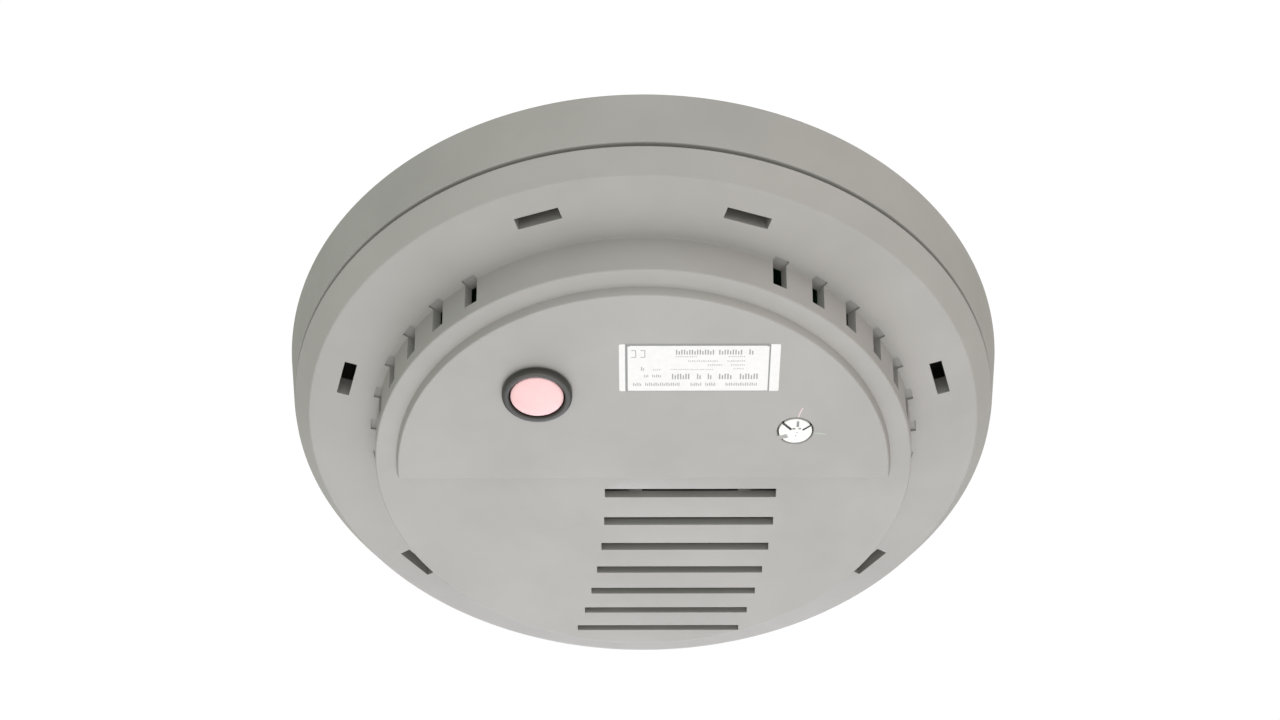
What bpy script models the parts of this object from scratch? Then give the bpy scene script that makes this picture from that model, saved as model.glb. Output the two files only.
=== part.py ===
"""Ceiling smoke alarm, built as the assembly of its separate pieces.

Metres, +Z up. The origin is the middle of the mounting plate's flat back, which lies on the
ceiling at z = 0, so the alarm hangs down from there. The -Y side carries the test button, the
label and the selector; the +Y side carries the sounder's grille.

What moves: the whole head turns on the mounting plate's bayonet, the test button presses a
long-stem switch against its return spring, and the selector dial turns.
"""

import math

import bmesh
import bpy
from mathutils import Matrix, Vector

MM = 0.001
GAP = 0.3 * MM  # between faces that touch in the real object
WALL = 1.8 * MM
ROUND = 72  # segments on the large turned shells
MIDDLE_ROUND = 36
SMALL_ROUND = 24
TINY_ROUND = 16

# The outside profile, as (radius, height) pairs below the ceiling.
REAR_RADIUS = 72.0 * MM
REAR_EDGE_Z = -0.4 * MM
SEAM_RADIUS = 70.0 * MM
SEAM_TOP_Z = -12.4 * MM
SEAM_BOTTOM_Z = -13.3 * MM
FLANGE_RADIUS = 66.5 * MM
FLANGE_Z = -17.8 * MM
DRUM_RADIUS = 53.1 * MM  # where the flange meets the drum's drafted wall
DRUM_Z = -18.9 * MM
FACE_RADIUS = 52.6 * MM
FACE_Z = -27.4 * MM

# The raised half of the face.
LAND_FOOT_RADIUS = 48.5 * MM
LAND_RADIUS = 48.0 * MM
LAND_Z = -29.2 * MM
LAND_EDGE_Y = -0.4 * MM
LAND_INSIDE_RADIUS = 46.2 * MM

# Bayonet between the plate and the head.
PLATE_RADIUS = 58.0 * MM
PLATE_THICKNESS = 3.0 * MM
PLATE_POCKET_DEPTH = 1.2 * MM
BAYONET_COUNT = 4
BAYONET_START = 45.0
TAB_HALF_ANGLE = 8.0
LUG_HALF_ANGLE = 6.0
TWIST = 15.0
STOP_CLEARANCE = 0.5
TAB_RADIUS = 66.0 * MM
TAB_TOP_Z = -1.9 * MM
LUG_RADIUS = 63.5 * MM
LUG_TOP_Z = -0.5 * MM
LUG_BOTTOM_Z = -1.6 * MM

# Screw fixings in the plate: two keyholes across, two curved slots for turning it true.
FIXING_RADIUS = 30.0 * MM
FIXING_SLOT = 4.6 * MM
KEYHOLE_RADIUS = 4.4 * MM
KEYHOLE_LENGTH = 9.0 * MM
CURVED_SLOT_HALF_ANGLE = 15.0

# Base housing.
FLOOR_TOP_Z = -3.6 * MM
FLOOR_Z = -5.2 * MM
TONGUE_RADIUS = 67.6 * MM
TONGUE_INSIDE_RADIUS = 66.0 * MM
TONGUE_TOP_Z = -9.8 * MM

# Circuit board, hung from the base's floor.
BOARD_TOP_Z = -7.4 * MM
BOARD_Z = -9.0 * MM
BOARD_RADIUS = 49.0 * MM
PARTS_Z = BOARD_Z - GAP  # where everything soldered to the board starts
BOARD_SCREWS = [(-30.0 * MM, -33.0 * MM), (43.0 * MM, -17.0 * MM), (34.0 * MM, 31.0 * MM),
                (-13.0 * MM, 43.0 * MM)]

# Screws that close the cover on the base.
COVER_SCREW_RADIUS = 61.0 * MM
COVER_SCREW_ANGLES = [-45.0, 63.0, 117.0, 225.0]

# Test button.
BUTTON = Vector((-20.0 * MM, -23.7 * MM, 0.0))
LENS_RADIUS = 5.0 * MM
BEZEL_RADIUS = 6.65 * MM
BEZEL_Z = -30.9 * MM
STEM_OFFSET = 2.1 * MM
PIPE_OFFSET = -2.1 * MM
SHELF_Z = -21.0 * MM
SPRING_RADIUS = 3.7 * MM
SPRING_WIRE = 0.5 * MM
SPRING_TURNS = 5

# Selector dial.
DIAL = Vector((29.2 * MM, -13.3 * MM, 0.0))
DIAL_RADIUS = 3.2 * MM
DIAL_SLOT_ANGLES = [155.0, 215.0, 280.0, 340.0]

# Label.
LABEL_SIZE = (30.0 * MM, 12.0 * MM)
LABEL_CENTRE = Vector((10.5 * MM, -30.0 * MM, 0.0))
LABEL_DEPTH = 0.5 * MM

# Sounder and its grille.
SOUNDER = Vector((9.3 * MM, 26.0 * MM, 0.0))
HORN_RADIUS = 20.6 * MM
GRILLE_SLOTS = 7
GRILLE_FIRST_Y = 4.7 * MM
GRILLE_PITCH = 8.25 * MM
GRILLE_CLOSING = 0.932  # each pitch is this much of the one before
GRILLE_OPEN_SHARE = 0.29  # slot width over pitch
GRILLE_LENGTH = 34.0 * MM
GRILLE_CENTRE_X = 9.35 * MM
GRILLE_DRIFT = -6.3 * MM  # sideways shift of the last slot

# Slots in the drum's wall and in the flange.
WALL_SLOTS = 32
WALL_SLOT_START = -61.6
WALL_SLOT_PITCH = 9.5
WALL_SLOT_WIDTH = 2.9 * MM
WALL_SLOT_REACH = (49.0 * MM, 54.2 * MM)  # from inside the wall to a shallow notch in the flange
WALL_SLOT_TOP_Z = -18.4 * MM
WALL_SLOT_BOTTOM_Z = -24.9 * MM
FLANGE_SLOT_ANGLES = [-16.4, 37.6, 90.0, 142.4, 196.4, 251.5, 288.5]
FLANGE_SLOT_RADIUS = 60.1 * MM
FLANGE_SLOT_SIZE = (2.4 * MM, 8.5 * MM)
COLLAR_WALL = 1.2 * MM  # of the deep collar round each flange slot, inside
COLLAR_TOP_Z = -14.6 * MM

# Smoke chamber.
CHAMBER = Vector((5.5 * MM, -22.0 * MM, 0.0))
CHAMBER_RADIUS = 18.2 * MM
CHAMBER_DECK_Z = -13.0 * MM
CHAMBER_CAP_Z = -24.9 * MM
VANES = 16
OPTICS_Z = -16.2 * MM
OPTICS_RADIUS = 12.9 * MM
EMITTER_ANGLE = 200.0
DETECTOR_ANGLE = 340.0
CRADLE_RADIUS = 9.6 * MM
CRADLE_Z = -19.4 * MM

# Lithium cell, a standard CR123A, and the pocket that holds it.
CELL_RADIUS = 8.5 * MM
CELL_LENGTH = 34.5 * MM
CELL = Vector((-28.0 * MM, 7.0 * MM, -12.1 * MM))
POCKET_HALF = (9.0 * MM, 21.0 * MM)
POCKET_BOTTOM_Z = -21.0 * MM
POCKET_WALL = 1.2 * MM


# ---------------------------------------------------------------- scene and materials

def clear_scene():
    for old in list(bpy.data.objects):
        bpy.data.objects.remove(old, do_unlink=True)


def collection(name):
    made = bpy.data.collections.new(name)
    bpy.context.scene.collection.children.link(made)
    return made


def plastic(name, colour, roughness=0.5, metallic=0.0, alpha=1.0):
    made = bpy.data.materials.new(name)
    made.use_nodes = True
    shader = made.node_tree.nodes["Principled BSDF"]
    shader.inputs["Base Color"].default_value = (*colour, 1.0)
    shader.inputs["Roughness"].default_value = roughness
    shader.inputs["Metallic"].default_value = metallic
    shader.inputs["Alpha"].default_value = alpha
    return made


def make_materials():
    return {
        "housing": plastic("housing_plastic", (0.47, 0.46, 0.43), 0.55),
        "inner": plastic("inner_plastic", (0.62, 0.61, 0.58), 0.6),
        "black": plastic("black_plastic", (0.035, 0.045, 0.04), 0.4),
        "lens": plastic("pink_lens", (0.95, 0.62, 0.64), 0.25),
        "clear": plastic("clear_acrylic", (0.9, 0.92, 0.93), 0.1, alpha=0.5),
        "label": plastic("label_paper", (0.9, 0.9, 0.9), 0.6),
        "white": plastic("white_plastic", (0.85, 0.85, 0.84), 0.45),
        "board": plastic("circuit_board", (0.03, 0.22, 0.09), 0.45),
        "steel": plastic("plated_steel", (0.65, 0.65, 0.66), 0.3, 1.0),
        "brass": plastic("brass", (0.75, 0.58, 0.25), 0.35, 1.0),
        "ceramic": plastic("piezo_ceramic", (0.82, 0.8, 0.74), 0.6),
        "chip": plastic("chip_epoxy", (0.02, 0.02, 0.022), 0.6),
        "sleeve": plastic("capacitor_sleeve", (0.03, 0.05, 0.16), 0.35),
        "ferrite": plastic("ferrite", (0.06, 0.06, 0.065), 0.7),
        "cell": plastic("cell_wrap", (0.1, 0.16, 0.34), 0.4),
    }


# ---------------------------------------------------------------- shape helpers

def object_from(bm, name):
    mesh = bpy.data.meshes.new(name)
    bmesh.ops.recalc_face_normals(bm, faces=bm.faces)
    bm.to_mesh(mesh)
    bm.free()
    obj = bpy.data.objects.new(name, mesh)
    return obj


def as_part(obj, material, smooth_angle=35.0):
    """Files the object with the model's pieces, with its material and smooth round sides."""
    obj.data.materials.append(MATERIALS[material])
    obj.data.shade_smooth()
    obj.data.set_sharp_from_angle(angle=math.radians(smooth_angle))
    PARTS.objects.link(obj)
    return obj


def as_cutter(obj):
    obj.hide_render = True
    obj.display_type = "WIRE"
    CUTTERS.objects.link(obj)
    return obj


def turned(name, profile, segments, at=(0.0, 0.0, 0.0)):
    """A profile of (radius, z) points turned about the vertical through a point."""
    bm = bmesh.new()
    points = [bm.verts.new((radius, 0.0, z)) for radius, z in profile]
    pairs = list(zip(points, points[1:]))
    if profile[0][0] > 0.0:
        pairs.append((points[-1], points[0]))
    for start, end in pairs:
        bm.edges.new((start, end))
    mesh = bpy.data.meshes.new(name)
    bm.to_mesh(mesh)
    bm.free()
    obj = bpy.data.objects.new(name, mesh)
    obj.location = at
    screw = obj.modifiers.new("turn", "SCREW")
    screw.steps = segments
    screw.render_steps = segments
    screw.use_merge_vertices = True
    screw.merge_threshold = 0.00001
    screw.use_smooth_shade = False
    return obj


def rod(radius, bottom, top):
    """The profile of a plain round rod."""
    return [(0.0, top), (radius, top), (radius, bottom), (0.0, bottom)]


def add_box(bm, size, place):
    bmesh.ops.create_cube(bm, size=1.0, matrix=place @ Matrix.Diagonal((*size, 1.0)))


def box(name, low, high):
    bm = bmesh.new()
    low, high = Vector(low), Vector(high)
    add_box(bm, high - low, Matrix.Translation((low + high) / 2))
    return object_from(bm, name)


def boxes(name, placed):
    """One object of separate boxes, each given as (size, matrix)."""
    bm = bmesh.new()
    for size, place in placed:
        add_box(bm, size, place)
    return object_from(bm, name)


def add_rod(bm, radius, bottom, top, centre, segments=SMALL_ROUND):
    middle = Matrix.Translation((centre[0], centre[1], (bottom + top) / 2))
    bmesh.ops.create_cone(bm, cap_ends=True, segments=segments, radius1=radius, radius2=radius,
                          depth=top - bottom, matrix=middle)


def rods(name, radius, bottom, top, centres, segments=SMALL_ROUND):
    bm = bmesh.new()
    for centre in centres:
        add_rod(bm, radius, bottom, top, centre, segments)
    return object_from(bm, name)


def add_prism(bm, outline, bottom, top):
    """A flat outline of (x, y) points raised from one height to another."""
    face = bm.faces.new([bm.verts.new((x, y, bottom)) for x, y in outline])
    raised = bmesh.ops.extrude_face_region(bm, geom=[face])["geom"]
    corners = [item for item in raised if isinstance(item, bmesh.types.BMVert)]
    bmesh.ops.translate(bm, verts=corners, vec=(0.0, 0.0, top - bottom))


def arc(radius, start, end, steps):
    """Points on a circle, angles in degrees."""
    angles = [math.radians(start + (end - start) * i / steps) for i in range(steps + 1)]
    return [(radius * math.cos(a), radius * math.sin(a)) for a in angles]


def sector(inner, outer, start, end, steps=6):
    return arc(outer, start, end, steps) + arc(inner, end, start, steps)


def sectors(name, spans, inner, outer, bottom, top, steps=6):
    bm = bmesh.new()
    for start, end in spans:
        add_prism(bm, sector(inner, outer, start, end, steps), bottom, top)
    return object_from(bm, name)


def polar(radius, degrees, z=0.0):
    angle = math.radians(degrees)
    return Vector((radius * math.cos(angle), radius * math.sin(angle), z))


def turn(degrees):
    return Matrix.Rotation(math.radians(degrees), 4, "Z")


def boolean(obj, other, operation):
    step = obj.modifiers.new(other.name, "BOOLEAN")
    step.operation = operation
    step.object = other
    as_cutter(other)


def cut(obj, *others):
    for other in others:
        boolean(obj, other, "DIFFERENCE")


def join(obj, *others):
    for other in others:
        boolean(obj, other, "UNION")


def strip(name, path, width, thickness, place):
    """A bent metal strip: a path of (along, up) points, widened sideways and thickened."""
    bm = bmesh.new()
    sides = []
    for side in (-width / 2, width / 2):
        sides.append([bm.verts.new(place @ Vector((x, side, z))) for x, z in path])
    for i in range(len(path) - 1):
        bm.faces.new((sides[0][i], sides[0][i + 1], sides[1][i + 1], sides[1][i]))
    mesh = bpy.data.meshes.new(name)
    bm.to_mesh(mesh)
    bm.free()
    obj = bpy.data.objects.new(name, mesh)
    shell = obj.modifiers.new("sheet", "SOLIDIFY")
    shell.thickness = thickness
    shell.offset = 0.0
    shell.use_even_offset = True
    return obj


def bevel(obj, width, segments=1, angle=40.0):
    edge = obj.modifiers.new("edges", "BEVEL")
    edge.width = width
    edge.segments = segments
    edge.limit_method = "ANGLE"
    edge.angle_limit = math.radians(angle)


# ---------------------------------------------------------------- mounting plate

def bayonet_angles():
    return [BAYONET_START + i * 360.0 / BAYONET_COUNT for i in range(BAYONET_COUNT)]


def mounting_plate():
    plate = turned("mounting_plate", rod(PLATE_RADIUS, -PLATE_THICKNESS, 0.0), ROUND)
    inside = PLATE_RADIUS - 1.0 * MM
    tabs = [(a - TAB_HALF_ANGLE, a + TAB_HALF_ANGLE) for a in bayonet_angles()]
    join(plate, sectors("bayonet_tabs", tabs, inside, TAB_RADIUS, -PLATE_THICKNESS, TAB_TOP_Z))
    lock_from = LUG_HALF_ANGLE + STOP_CLEARANCE
    locks = [(a + lock_from, a + TAB_HALF_ANGLE + 1.0) for a in bayonet_angles()]
    join(plate, sectors("lock_stops", locks, inside, TAB_RADIUS - 0.5 * MM,
                        -PLATE_THICKNESS + 0.2 * MM, LUG_TOP_Z, 2))
    free_to = LUG_HALF_ANGLE + TWIST + STOP_CLEARANCE
    frees = [(a - free_to - 2.0, a - free_to) for a in bayonet_angles()]
    join(plate, sectors("twist_stops", frees, inside, TAB_RADIUS - 1.0 * MM,
                        -PLATE_THICKNESS + 0.2 * MM, LUG_TOP_Z, 2))
    pockets = [(22.0 + 90.0 * i, 68.0 + 90.0 * i) for i in range(4)]
    cut(plate, sectors("plate_pockets", pockets, 14.0 * MM, 52.0 * MM, -PLATE_POCKET_DEPTH,
                       1.0 * MM, 8))
    cut(plate, keyholes(), curved_slots())
    return as_part(plate, "inner")


def keyholes():
    bm = bmesh.new()
    below, above = -PLATE_THICKNESS - 1.0 * MM, 1.0 * MM
    half = math.degrees(math.asin(FIXING_SLOT / 2 / KEYHOLE_RADIUS))
    for side in (-1.0, 1.0):
        outline = [(x + side * FIXING_RADIUS, y)
                   for x, y in arc(KEYHOLE_RADIUS, half, 360.0 - half, 22)]
        tip = side * FIXING_RADIUS + KEYHOLE_LENGTH - FIXING_SLOT / 2
        outline += [(x + tip, y) for x, y in arc(FIXING_SLOT / 2, -90.0, 90.0, 8)]
        add_prism(bm, outline, below, above)
    return object_from(bm, "keyholes")


def curved_slots():
    bm = bmesh.new()
    half = CURVED_SLOT_HALF_ANGLE
    for middle in (90.0, 270.0):
        outline = arc(FIXING_RADIUS + FIXING_SLOT / 2, middle - half, middle + half, 10)
        outline += arc(FIXING_RADIUS - FIXING_SLOT / 2, middle + half, middle - half, 10)
        add_prism(bm, outline, -PLATE_THICKNESS - 1.0 * MM, 1.0 * MM)
    return object_from(bm, "curved_slots")


# ---------------------------------------------------------------- base housing and cover

def cover_screw_places():
    return [polar(COVER_SCREW_RADIUS, angle) for angle in COVER_SCREW_ANGLES]


def cell_pocket(grow, bottom, top):
    """A box round the lithium cell's pocket, a distance outside its inner walls."""
    low = (CELL.x - POCKET_HALF[0] - grow, CELL.y - POCKET_HALF[1] - grow, bottom)
    high = (CELL.x + POCKET_HALF[0] + grow, CELL.y + POCKET_HALF[1] + grow, top)
    return low, high


def base_housing():
    profile = [
        (0.0, FLOOR_TOP_Z),
        (69.5 * MM, FLOOR_TOP_Z),
        (69.7 * MM, REAR_EDGE_Z),
        (REAR_RADIUS, REAR_EDGE_Z),
        (SEAM_RADIUS, SEAM_TOP_Z),
        (TONGUE_RADIUS + GAP, SEAM_TOP_Z),
        (TONGUE_RADIUS + GAP, TONGUE_TOP_Z + 2 * GAP),
        (69.0 * MM, FLOOR_Z),
        (0.0, FLOOR_Z),
    ]
    base = turned("base_housing", profile, ROUND)
    lugs = [(a - LUG_HALF_ANGLE, a + LUG_HALF_ANGLE) for a in bayonet_angles()]
    join(base, sectors("bayonet_lugs", lugs, LUG_RADIUS, 70.4 * MM, LUG_BOTTOM_Z, LUG_TOP_Z))
    join(base, box("pocket_walls", *cell_pocket(POCKET_WALL, POCKET_BOTTOM_Z - POCKET_WALL,
                                                FLOOR_Z + 0.4 * MM)))
    join(base, rods("board_posts", 3.0 * MM, BOARD_TOP_Z + GAP, FLOOR_Z + 0.4 * MM, BOARD_SCREWS))
    join(base, rods("screw_seats", 4.2 * MM, -7.0 * MM, FLOOR_Z + 0.4 * MM, cover_screw_places()))
    cut(base, box("pocket_space", *cell_pocket(0.0, POCKET_BOTTOM_Z, 1.0 * MM)))
    cut(base, rods("post_holes", 1.4 * MM, -8.0 * MM, -4.2 * MM, BOARD_SCREWS, TINY_ROUND))
    cut(base, rods("seat_counterbores", 2.9 * MM, -5.3 * MM, -2.0 * MM, cover_screw_places()))
    cut(base, rods("seat_holes", 1.5 * MM, -8.0 * MM, -5.0 * MM, cover_screw_places(), TINY_ROUND))
    cut(base, contact_slots())
    return as_part(base, "housing")


def contact_slots():
    """Slots in the pocket's two ends, for the contacts' tails."""
    placed = []
    for side in (-1.0, 1.0):
        y = CELL.y + side * (POCKET_HALF[1] + POCKET_WALL / 2)
        placed.append(((4.0 * MM, 3.0 * MM, 1.0 * MM), Matrix.Translation((CELL.x, y, -9.9 * MM))))
    return boxes("contact_slots", placed)


def front_cover():
    profile = [
        (0.0, FACE_Z + WALL),
        (FACE_RADIUS - WALL, FACE_Z + WALL),
        (DRUM_RADIUS - WALL, DRUM_Z + WALL),
        (65.5 * MM, -16.2 * MM),
        (TONGUE_INSIDE_RADIUS, -15.5 * MM),
        (TONGUE_INSIDE_RADIUS, TONGUE_TOP_Z),
        (TONGUE_RADIUS, TONGUE_TOP_Z),
        (TONGUE_RADIUS, SEAM_BOTTOM_Z),
        (SEAM_RADIUS, SEAM_BOTTOM_Z),
        (FLANGE_RADIUS, FLANGE_Z),
        (DRUM_RADIUS, DRUM_Z),
        (FACE_RADIUS, FACE_Z),
        (0.0, FACE_Z),
    ]
    cover = turned("front_cover", profile, ROUND)
    join(cover, raised_land())
    join(cover, rods("cover_bosses", 3.0 * MM, -17.2 * MM, -7.3 * MM, cover_screw_places()))
    join(cover, sounder_ring())
    join(cover, flange_boxes("slot_collars", COLLAR_WALL, -17.4 * MM, COLLAR_TOP_Z))
    cut(cover, land_hollow())
    cut(cover, rods("boss_holes", 1.5 * MM, -16.6 * MM, -7.0 * MM, cover_screw_places(), TINY_ROUND))
    cut(cover, rods("bezel_hole", 6.2 * MM, -32.0 * MM, -24.0 * MM, [BUTTON]))
    cut(cover, rods("dial_hole", DIAL_RADIUS + GAP, -32.0 * MM, -24.0 * MM, [DIAL]))
    cut(cover, label_recess(), grille_slots(), wall_slots())
    cut(cover, flange_boxes("flange_slots", 0.0, -22.0 * MM, COLLAR_TOP_Z + 1.0 * MM))
    return as_part(cover, "housing")


def raised_land():
    disc = turned("raised_land", [(0.0, FACE_Z + 0.6 * MM), (LAND_FOOT_RADIUS, FACE_Z + 0.6 * MM),
                                  (LAND_FOOT_RADIUS, FACE_Z), (LAND_RADIUS, LAND_Z),
                                  (0.0, LAND_Z)], ROUND)
    cut(disc, far_side("land_trim", LAND_EDGE_Y))
    return disc


def land_hollow():
    disc = turned("land_hollow", rod(LAND_INSIDE_RADIUS, LAND_Z + WALL, FACE_Z + WALL + 1.0 * MM),
                  ROUND)
    cut(disc, far_side("hollow_trim", LAND_EDGE_Y - WALL))
    return disc


def far_side(name, edge):
    """A box over everything beyond a line along X."""
    reach = 80.0 * MM
    return box(name, (-reach, edge, -40.0 * MM), (reach, reach, 0.0))


def sounder_ring():
    inner, outer = HORN_RADIUS + 0.6 * MM, HORN_RADIUS + 1.8 * MM
    top, bottom = -21.0 * MM, FACE_Z + WALL - 0.4 * MM
    profile = [(inner, top), (outer, top), (outer, bottom), (inner, bottom)]
    return turned("sounder_ring", profile, MIDDLE_ROUND, SOUNDER)


def label_recess():
    half = Vector((LABEL_SIZE[0] / 2 + GAP, LABEL_SIZE[1] / 2 + GAP, 0.0))
    low, high = LABEL_CENTRE - half, LABEL_CENTRE + half
    return box("label_recess", (low.x, low.y, LAND_Z - 1.0 * MM),
               (high.x, high.y, LAND_Z + LABEL_DEPTH))


def grille_rows():
    """Each slot's near edge, width and middle, the rows closing up towards the rim."""
    rows = []
    y, pitch = GRILLE_FIRST_Y, GRILLE_PITCH
    run = GRILLE_PITCH * (1 - GRILLE_CLOSING ** (GRILLE_SLOTS - 1)) / (1 - GRILLE_CLOSING)
    for _ in range(GRILLE_SLOTS):
        along = (y - GRILLE_FIRST_Y) / run
        rows.append((y, pitch * GRILLE_OPEN_SHARE, GRILLE_CENTRE_X + GRILLE_DRIFT * along ** 2))
        y += pitch
        pitch *= GRILLE_CLOSING
    return rows


def grille_slots():
    placed = []
    depth = 4.0 * MM
    for y, width, x in grille_rows():
        place = Matrix.Translation((x, y + width / 2, FACE_Z + depth / 2 - 1.0 * MM))
        placed.append(((GRILLE_LENGTH, width, depth), place))
    return boxes("grille_slots", placed)


def wall_slots():
    placed = []
    inner, outer = WALL_SLOT_REACH
    size = (outer - inner, WALL_SLOT_WIDTH, WALL_SLOT_TOP_Z - WALL_SLOT_BOTTOM_Z)
    for i in range(WALL_SLOTS):
        angle = WALL_SLOT_START + i * WALL_SLOT_PITCH
        middle = polar((inner + outer) / 2, angle, (WALL_SLOT_TOP_Z + WALL_SLOT_BOTTOM_Z) / 2)
        placed.append((size, Matrix.Translation(middle) @ turn(angle)))
    return boxes("wall_slots", placed)


def flange_boxes(name, grow, bottom, top):
    """A box at each flange slot, a distance outside the slot's own walls."""
    size = (FLANGE_SLOT_SIZE[0] + 2 * grow, FLANGE_SLOT_SIZE[1] + 2 * grow, top - bottom)
    placed = []
    for angle in FLANGE_SLOT_ANGLES:
        middle = polar(FLANGE_SLOT_RADIUS, angle, (bottom + top) / 2)
        placed.append((size, Matrix.Translation(middle) @ turn(angle)))
    return boxes(name, placed)


def screw(name, place, shank_radius, tip, head_radius, seat, head_height):
    """A pan-head screw; its head lies beyond the seat, away from the tip."""
    head_end = seat + math.copysign(head_height, seat - tip)
    profile = [(0.0, head_end), (head_radius, head_end), (head_radius, seat), (shank_radius, seat),
               (shank_radius, tip), (0.0, tip)]
    if head_end < tip:
        profile.reverse()
    made = turned(name, profile, TINY_ROUND, place)
    deep = 0.8 * MM
    for i, angle in enumerate((0.0, 90.0)):
        size = (head_radius * 1.2, 0.5 * MM, 2 * deep)
        spot = Matrix.Translation(Vector((place[0], place[1], head_end))) @ turn(angle)
        cut(made, boxes(f"{name}_recess_{i + 1}", [(size, spot)]))
    return as_part(made, "steel")


def cover_screws():
    for i, place in enumerate(cover_screw_places()):
        screw(f"cover_screw_{i + 1}", place, 1.2 * MM, -15.8 * MM, 2.6 * MM, -5.0 * MM, 1.3 * MM)


def board_screws():
    for i, (x, y) in enumerate(BOARD_SCREWS):
        screw(f"board_screw_{i + 1}", (x, y, 0.0), 1.1 * MM, -4.5 * MM, 2.4 * MM, PARTS_Z, 1.5 * MM)


def rating_label():
    half = Vector((LABEL_SIZE[0] / 2, LABEL_SIZE[1] / 2, 0.0))
    low, high = LABEL_CENTRE - half, LABEL_CENTRE + half
    back = LAND_Z + LABEL_DEPTH - GAP
    label = box("rating_label", (low.x, low.y, back - 0.25 * MM), (high.x, high.y, back))
    return as_part(label, "label")


# ---------------------------------------------------------------- test button and its switch

def button_bezel():
    inside = LENS_RADIUS + GAP
    profile = [
        (0.0, SHELF_Z + 1.0 * MM),
        (5.9 * MM, SHELF_Z + 1.0 * MM),
        (5.9 * MM, LAND_Z - GAP),
        (BEZEL_RADIUS, LAND_Z - GAP),
        (BEZEL_RADIUS, BEZEL_Z + 0.6 * MM),
        (BEZEL_RADIUS - 0.5 * MM, BEZEL_Z),
        (inside + 0.2 * MM, BEZEL_Z),
        (inside, BEZEL_Z + 0.2 * MM),
        (inside, SHELF_Z),
        (0.0, SHELF_Z),
    ]
    bezel = turned("button_bezel", profile, MIDDLE_ROUND, BUTTON)
    stem_hole = BUTTON + Vector((STEM_OFFSET, 0.0, 0.0))
    pipe_hole = BUTTON + Vector((PIPE_OFFSET, 0.0, 0.0))
    cut(bezel, rods("shelf_holes", 1.6 * MM, SHELF_Z - 1.0 * MM, SHELF_Z + 2.0 * MM,
                    [stem_hole, pipe_hole], TINY_ROUND))
    return as_part(bezel, "black")


def bezel_nut():
    """The thin nut that clamps the bezel from inside the cover."""
    bottom, top = LAND_Z + WALL + GAP, LAND_Z + WALL + GAP + 1.5 * MM
    nut = rods("bezel_nut", 8.4 * MM, bottom, top, [BUTTON], 6)
    cut(nut, rods("nut_hole", 6.2 * MM, bottom - 1.0 * MM, top + 1.0 * MM, [BUTTON]))
    return as_part(nut, "black")


def test_button():
    underside = LAND_Z + 0.8 * MM
    dome = [(LENS_RADIUS * math.sin(math.radians(a)) / math.sin(math.radians(24.0)),
             BEZEL_Z + 0.3 * MM - 0.3 * MM * math.cos(math.radians(a * 90.0 / 24.0)))
            for a in (24.0, 18.0, 12.0, 6.0)]
    profile = [(0.0, underside), (LENS_RADIUS, underside), *dome, (0.0, BEZEL_Z)]
    cap = turned("test_button", profile, MIDDLE_ROUND, BUTTON)
    stem_place = BUTTON + Vector((STEM_OFFSET, 0.0, 0.0))
    join(cap, rods("button_stem", 1.3 * MM, underside - 0.4 * MM, -19.6 * MM, [stem_place],
                   TINY_ROUND))
    return as_part(cap, "lens")


def coil_points(radius, turns, start, end, steps):
    """Points of a coil whose first and last 0.6 of a turn lie flat."""
    flat = 0.6
    points = []
    for i in range(turns * steps + 1):
        turned_by = i / steps
        rise = min(max((turned_by - flat) / (turns - 2 * flat), 0.0), 1.0)
        angle = 2 * math.pi * turned_by
        points.append((radius * math.cos(angle), radius * math.sin(angle),
                       start + (end - start) * rise))
    return points


def button_spring():
    start = SHELF_Z - GAP - SPRING_WIRE / 2
    end = LAND_Z + 0.8 * MM + GAP + SPRING_WIRE / 2
    curve = bpy.data.curves.new("button_spring", "CURVE")
    curve.dimensions = "3D"
    curve.bevel_depth = SPRING_WIRE / 2
    curve.bevel_resolution = 2
    curve.use_fill_caps = True
    points = coil_points(SPRING_RADIUS, SPRING_TURNS, start, end, 14)
    wire = curve.splines.new("POLY")
    wire.points.add(len(points) - 1)
    for point, place in zip(wire.points, points):
        point.co = (*(BUTTON + Vector(place)), 1.0)
    spring = bpy.data.objects.new("button_spring", curve)
    curve.materials.append(MATERIALS["steel"])
    PARTS.objects.link(spring)
    return spring


def button_switch():
    place = BUTTON + Vector((STEM_OFFSET, 0.0, 0.0))
    half = 2.6 * MM
    body = box("switch_body", (place.x - half, place.y - half, PARTS_Z - 3.6 * MM),
               (place.x + half, place.y + half, PARTS_Z))
    bevel(body, 0.3 * MM)
    cut(body, rods("plunger_bore", 2.0 * MM, -14.0 * MM, -10.6 * MM, [place], TINY_ROUND))
    as_part(body, "chip")
    plunger = turned("switch_plunger", rod(1.7 * MM, -19.3 * MM, -12.0 * MM), TINY_ROUND, place)
    as_part(plunger, "white")


def status_light():
    place = BUTTON + Vector((PIPE_OFFSET, 0.0, 0.0))
    half = 0.8 * MM
    led = box("status_led", (place.x - half, place.y - half, PARTS_Z - 0.8 * MM),
              (place.x + half, place.y + half, PARTS_Z))
    bevel(led, 0.15 * MM)
    as_part(led, "white")
    top = PARTS_Z - 0.8 * MM - GAP
    profile = [(0.0, top), (1.3 * MM, top), (1.3 * MM, top - 1.0 * MM), (1.0 * MM, top - 1.4 * MM),
               (1.0 * MM, -26.5 * MM), (0.7 * MM, -26.9 * MM), (0.0, -26.9 * MM)]
    as_part(turned("light_pipe", profile, TINY_ROUND, place), "clear")


# ---------------------------------------------------------------- selector

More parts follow.
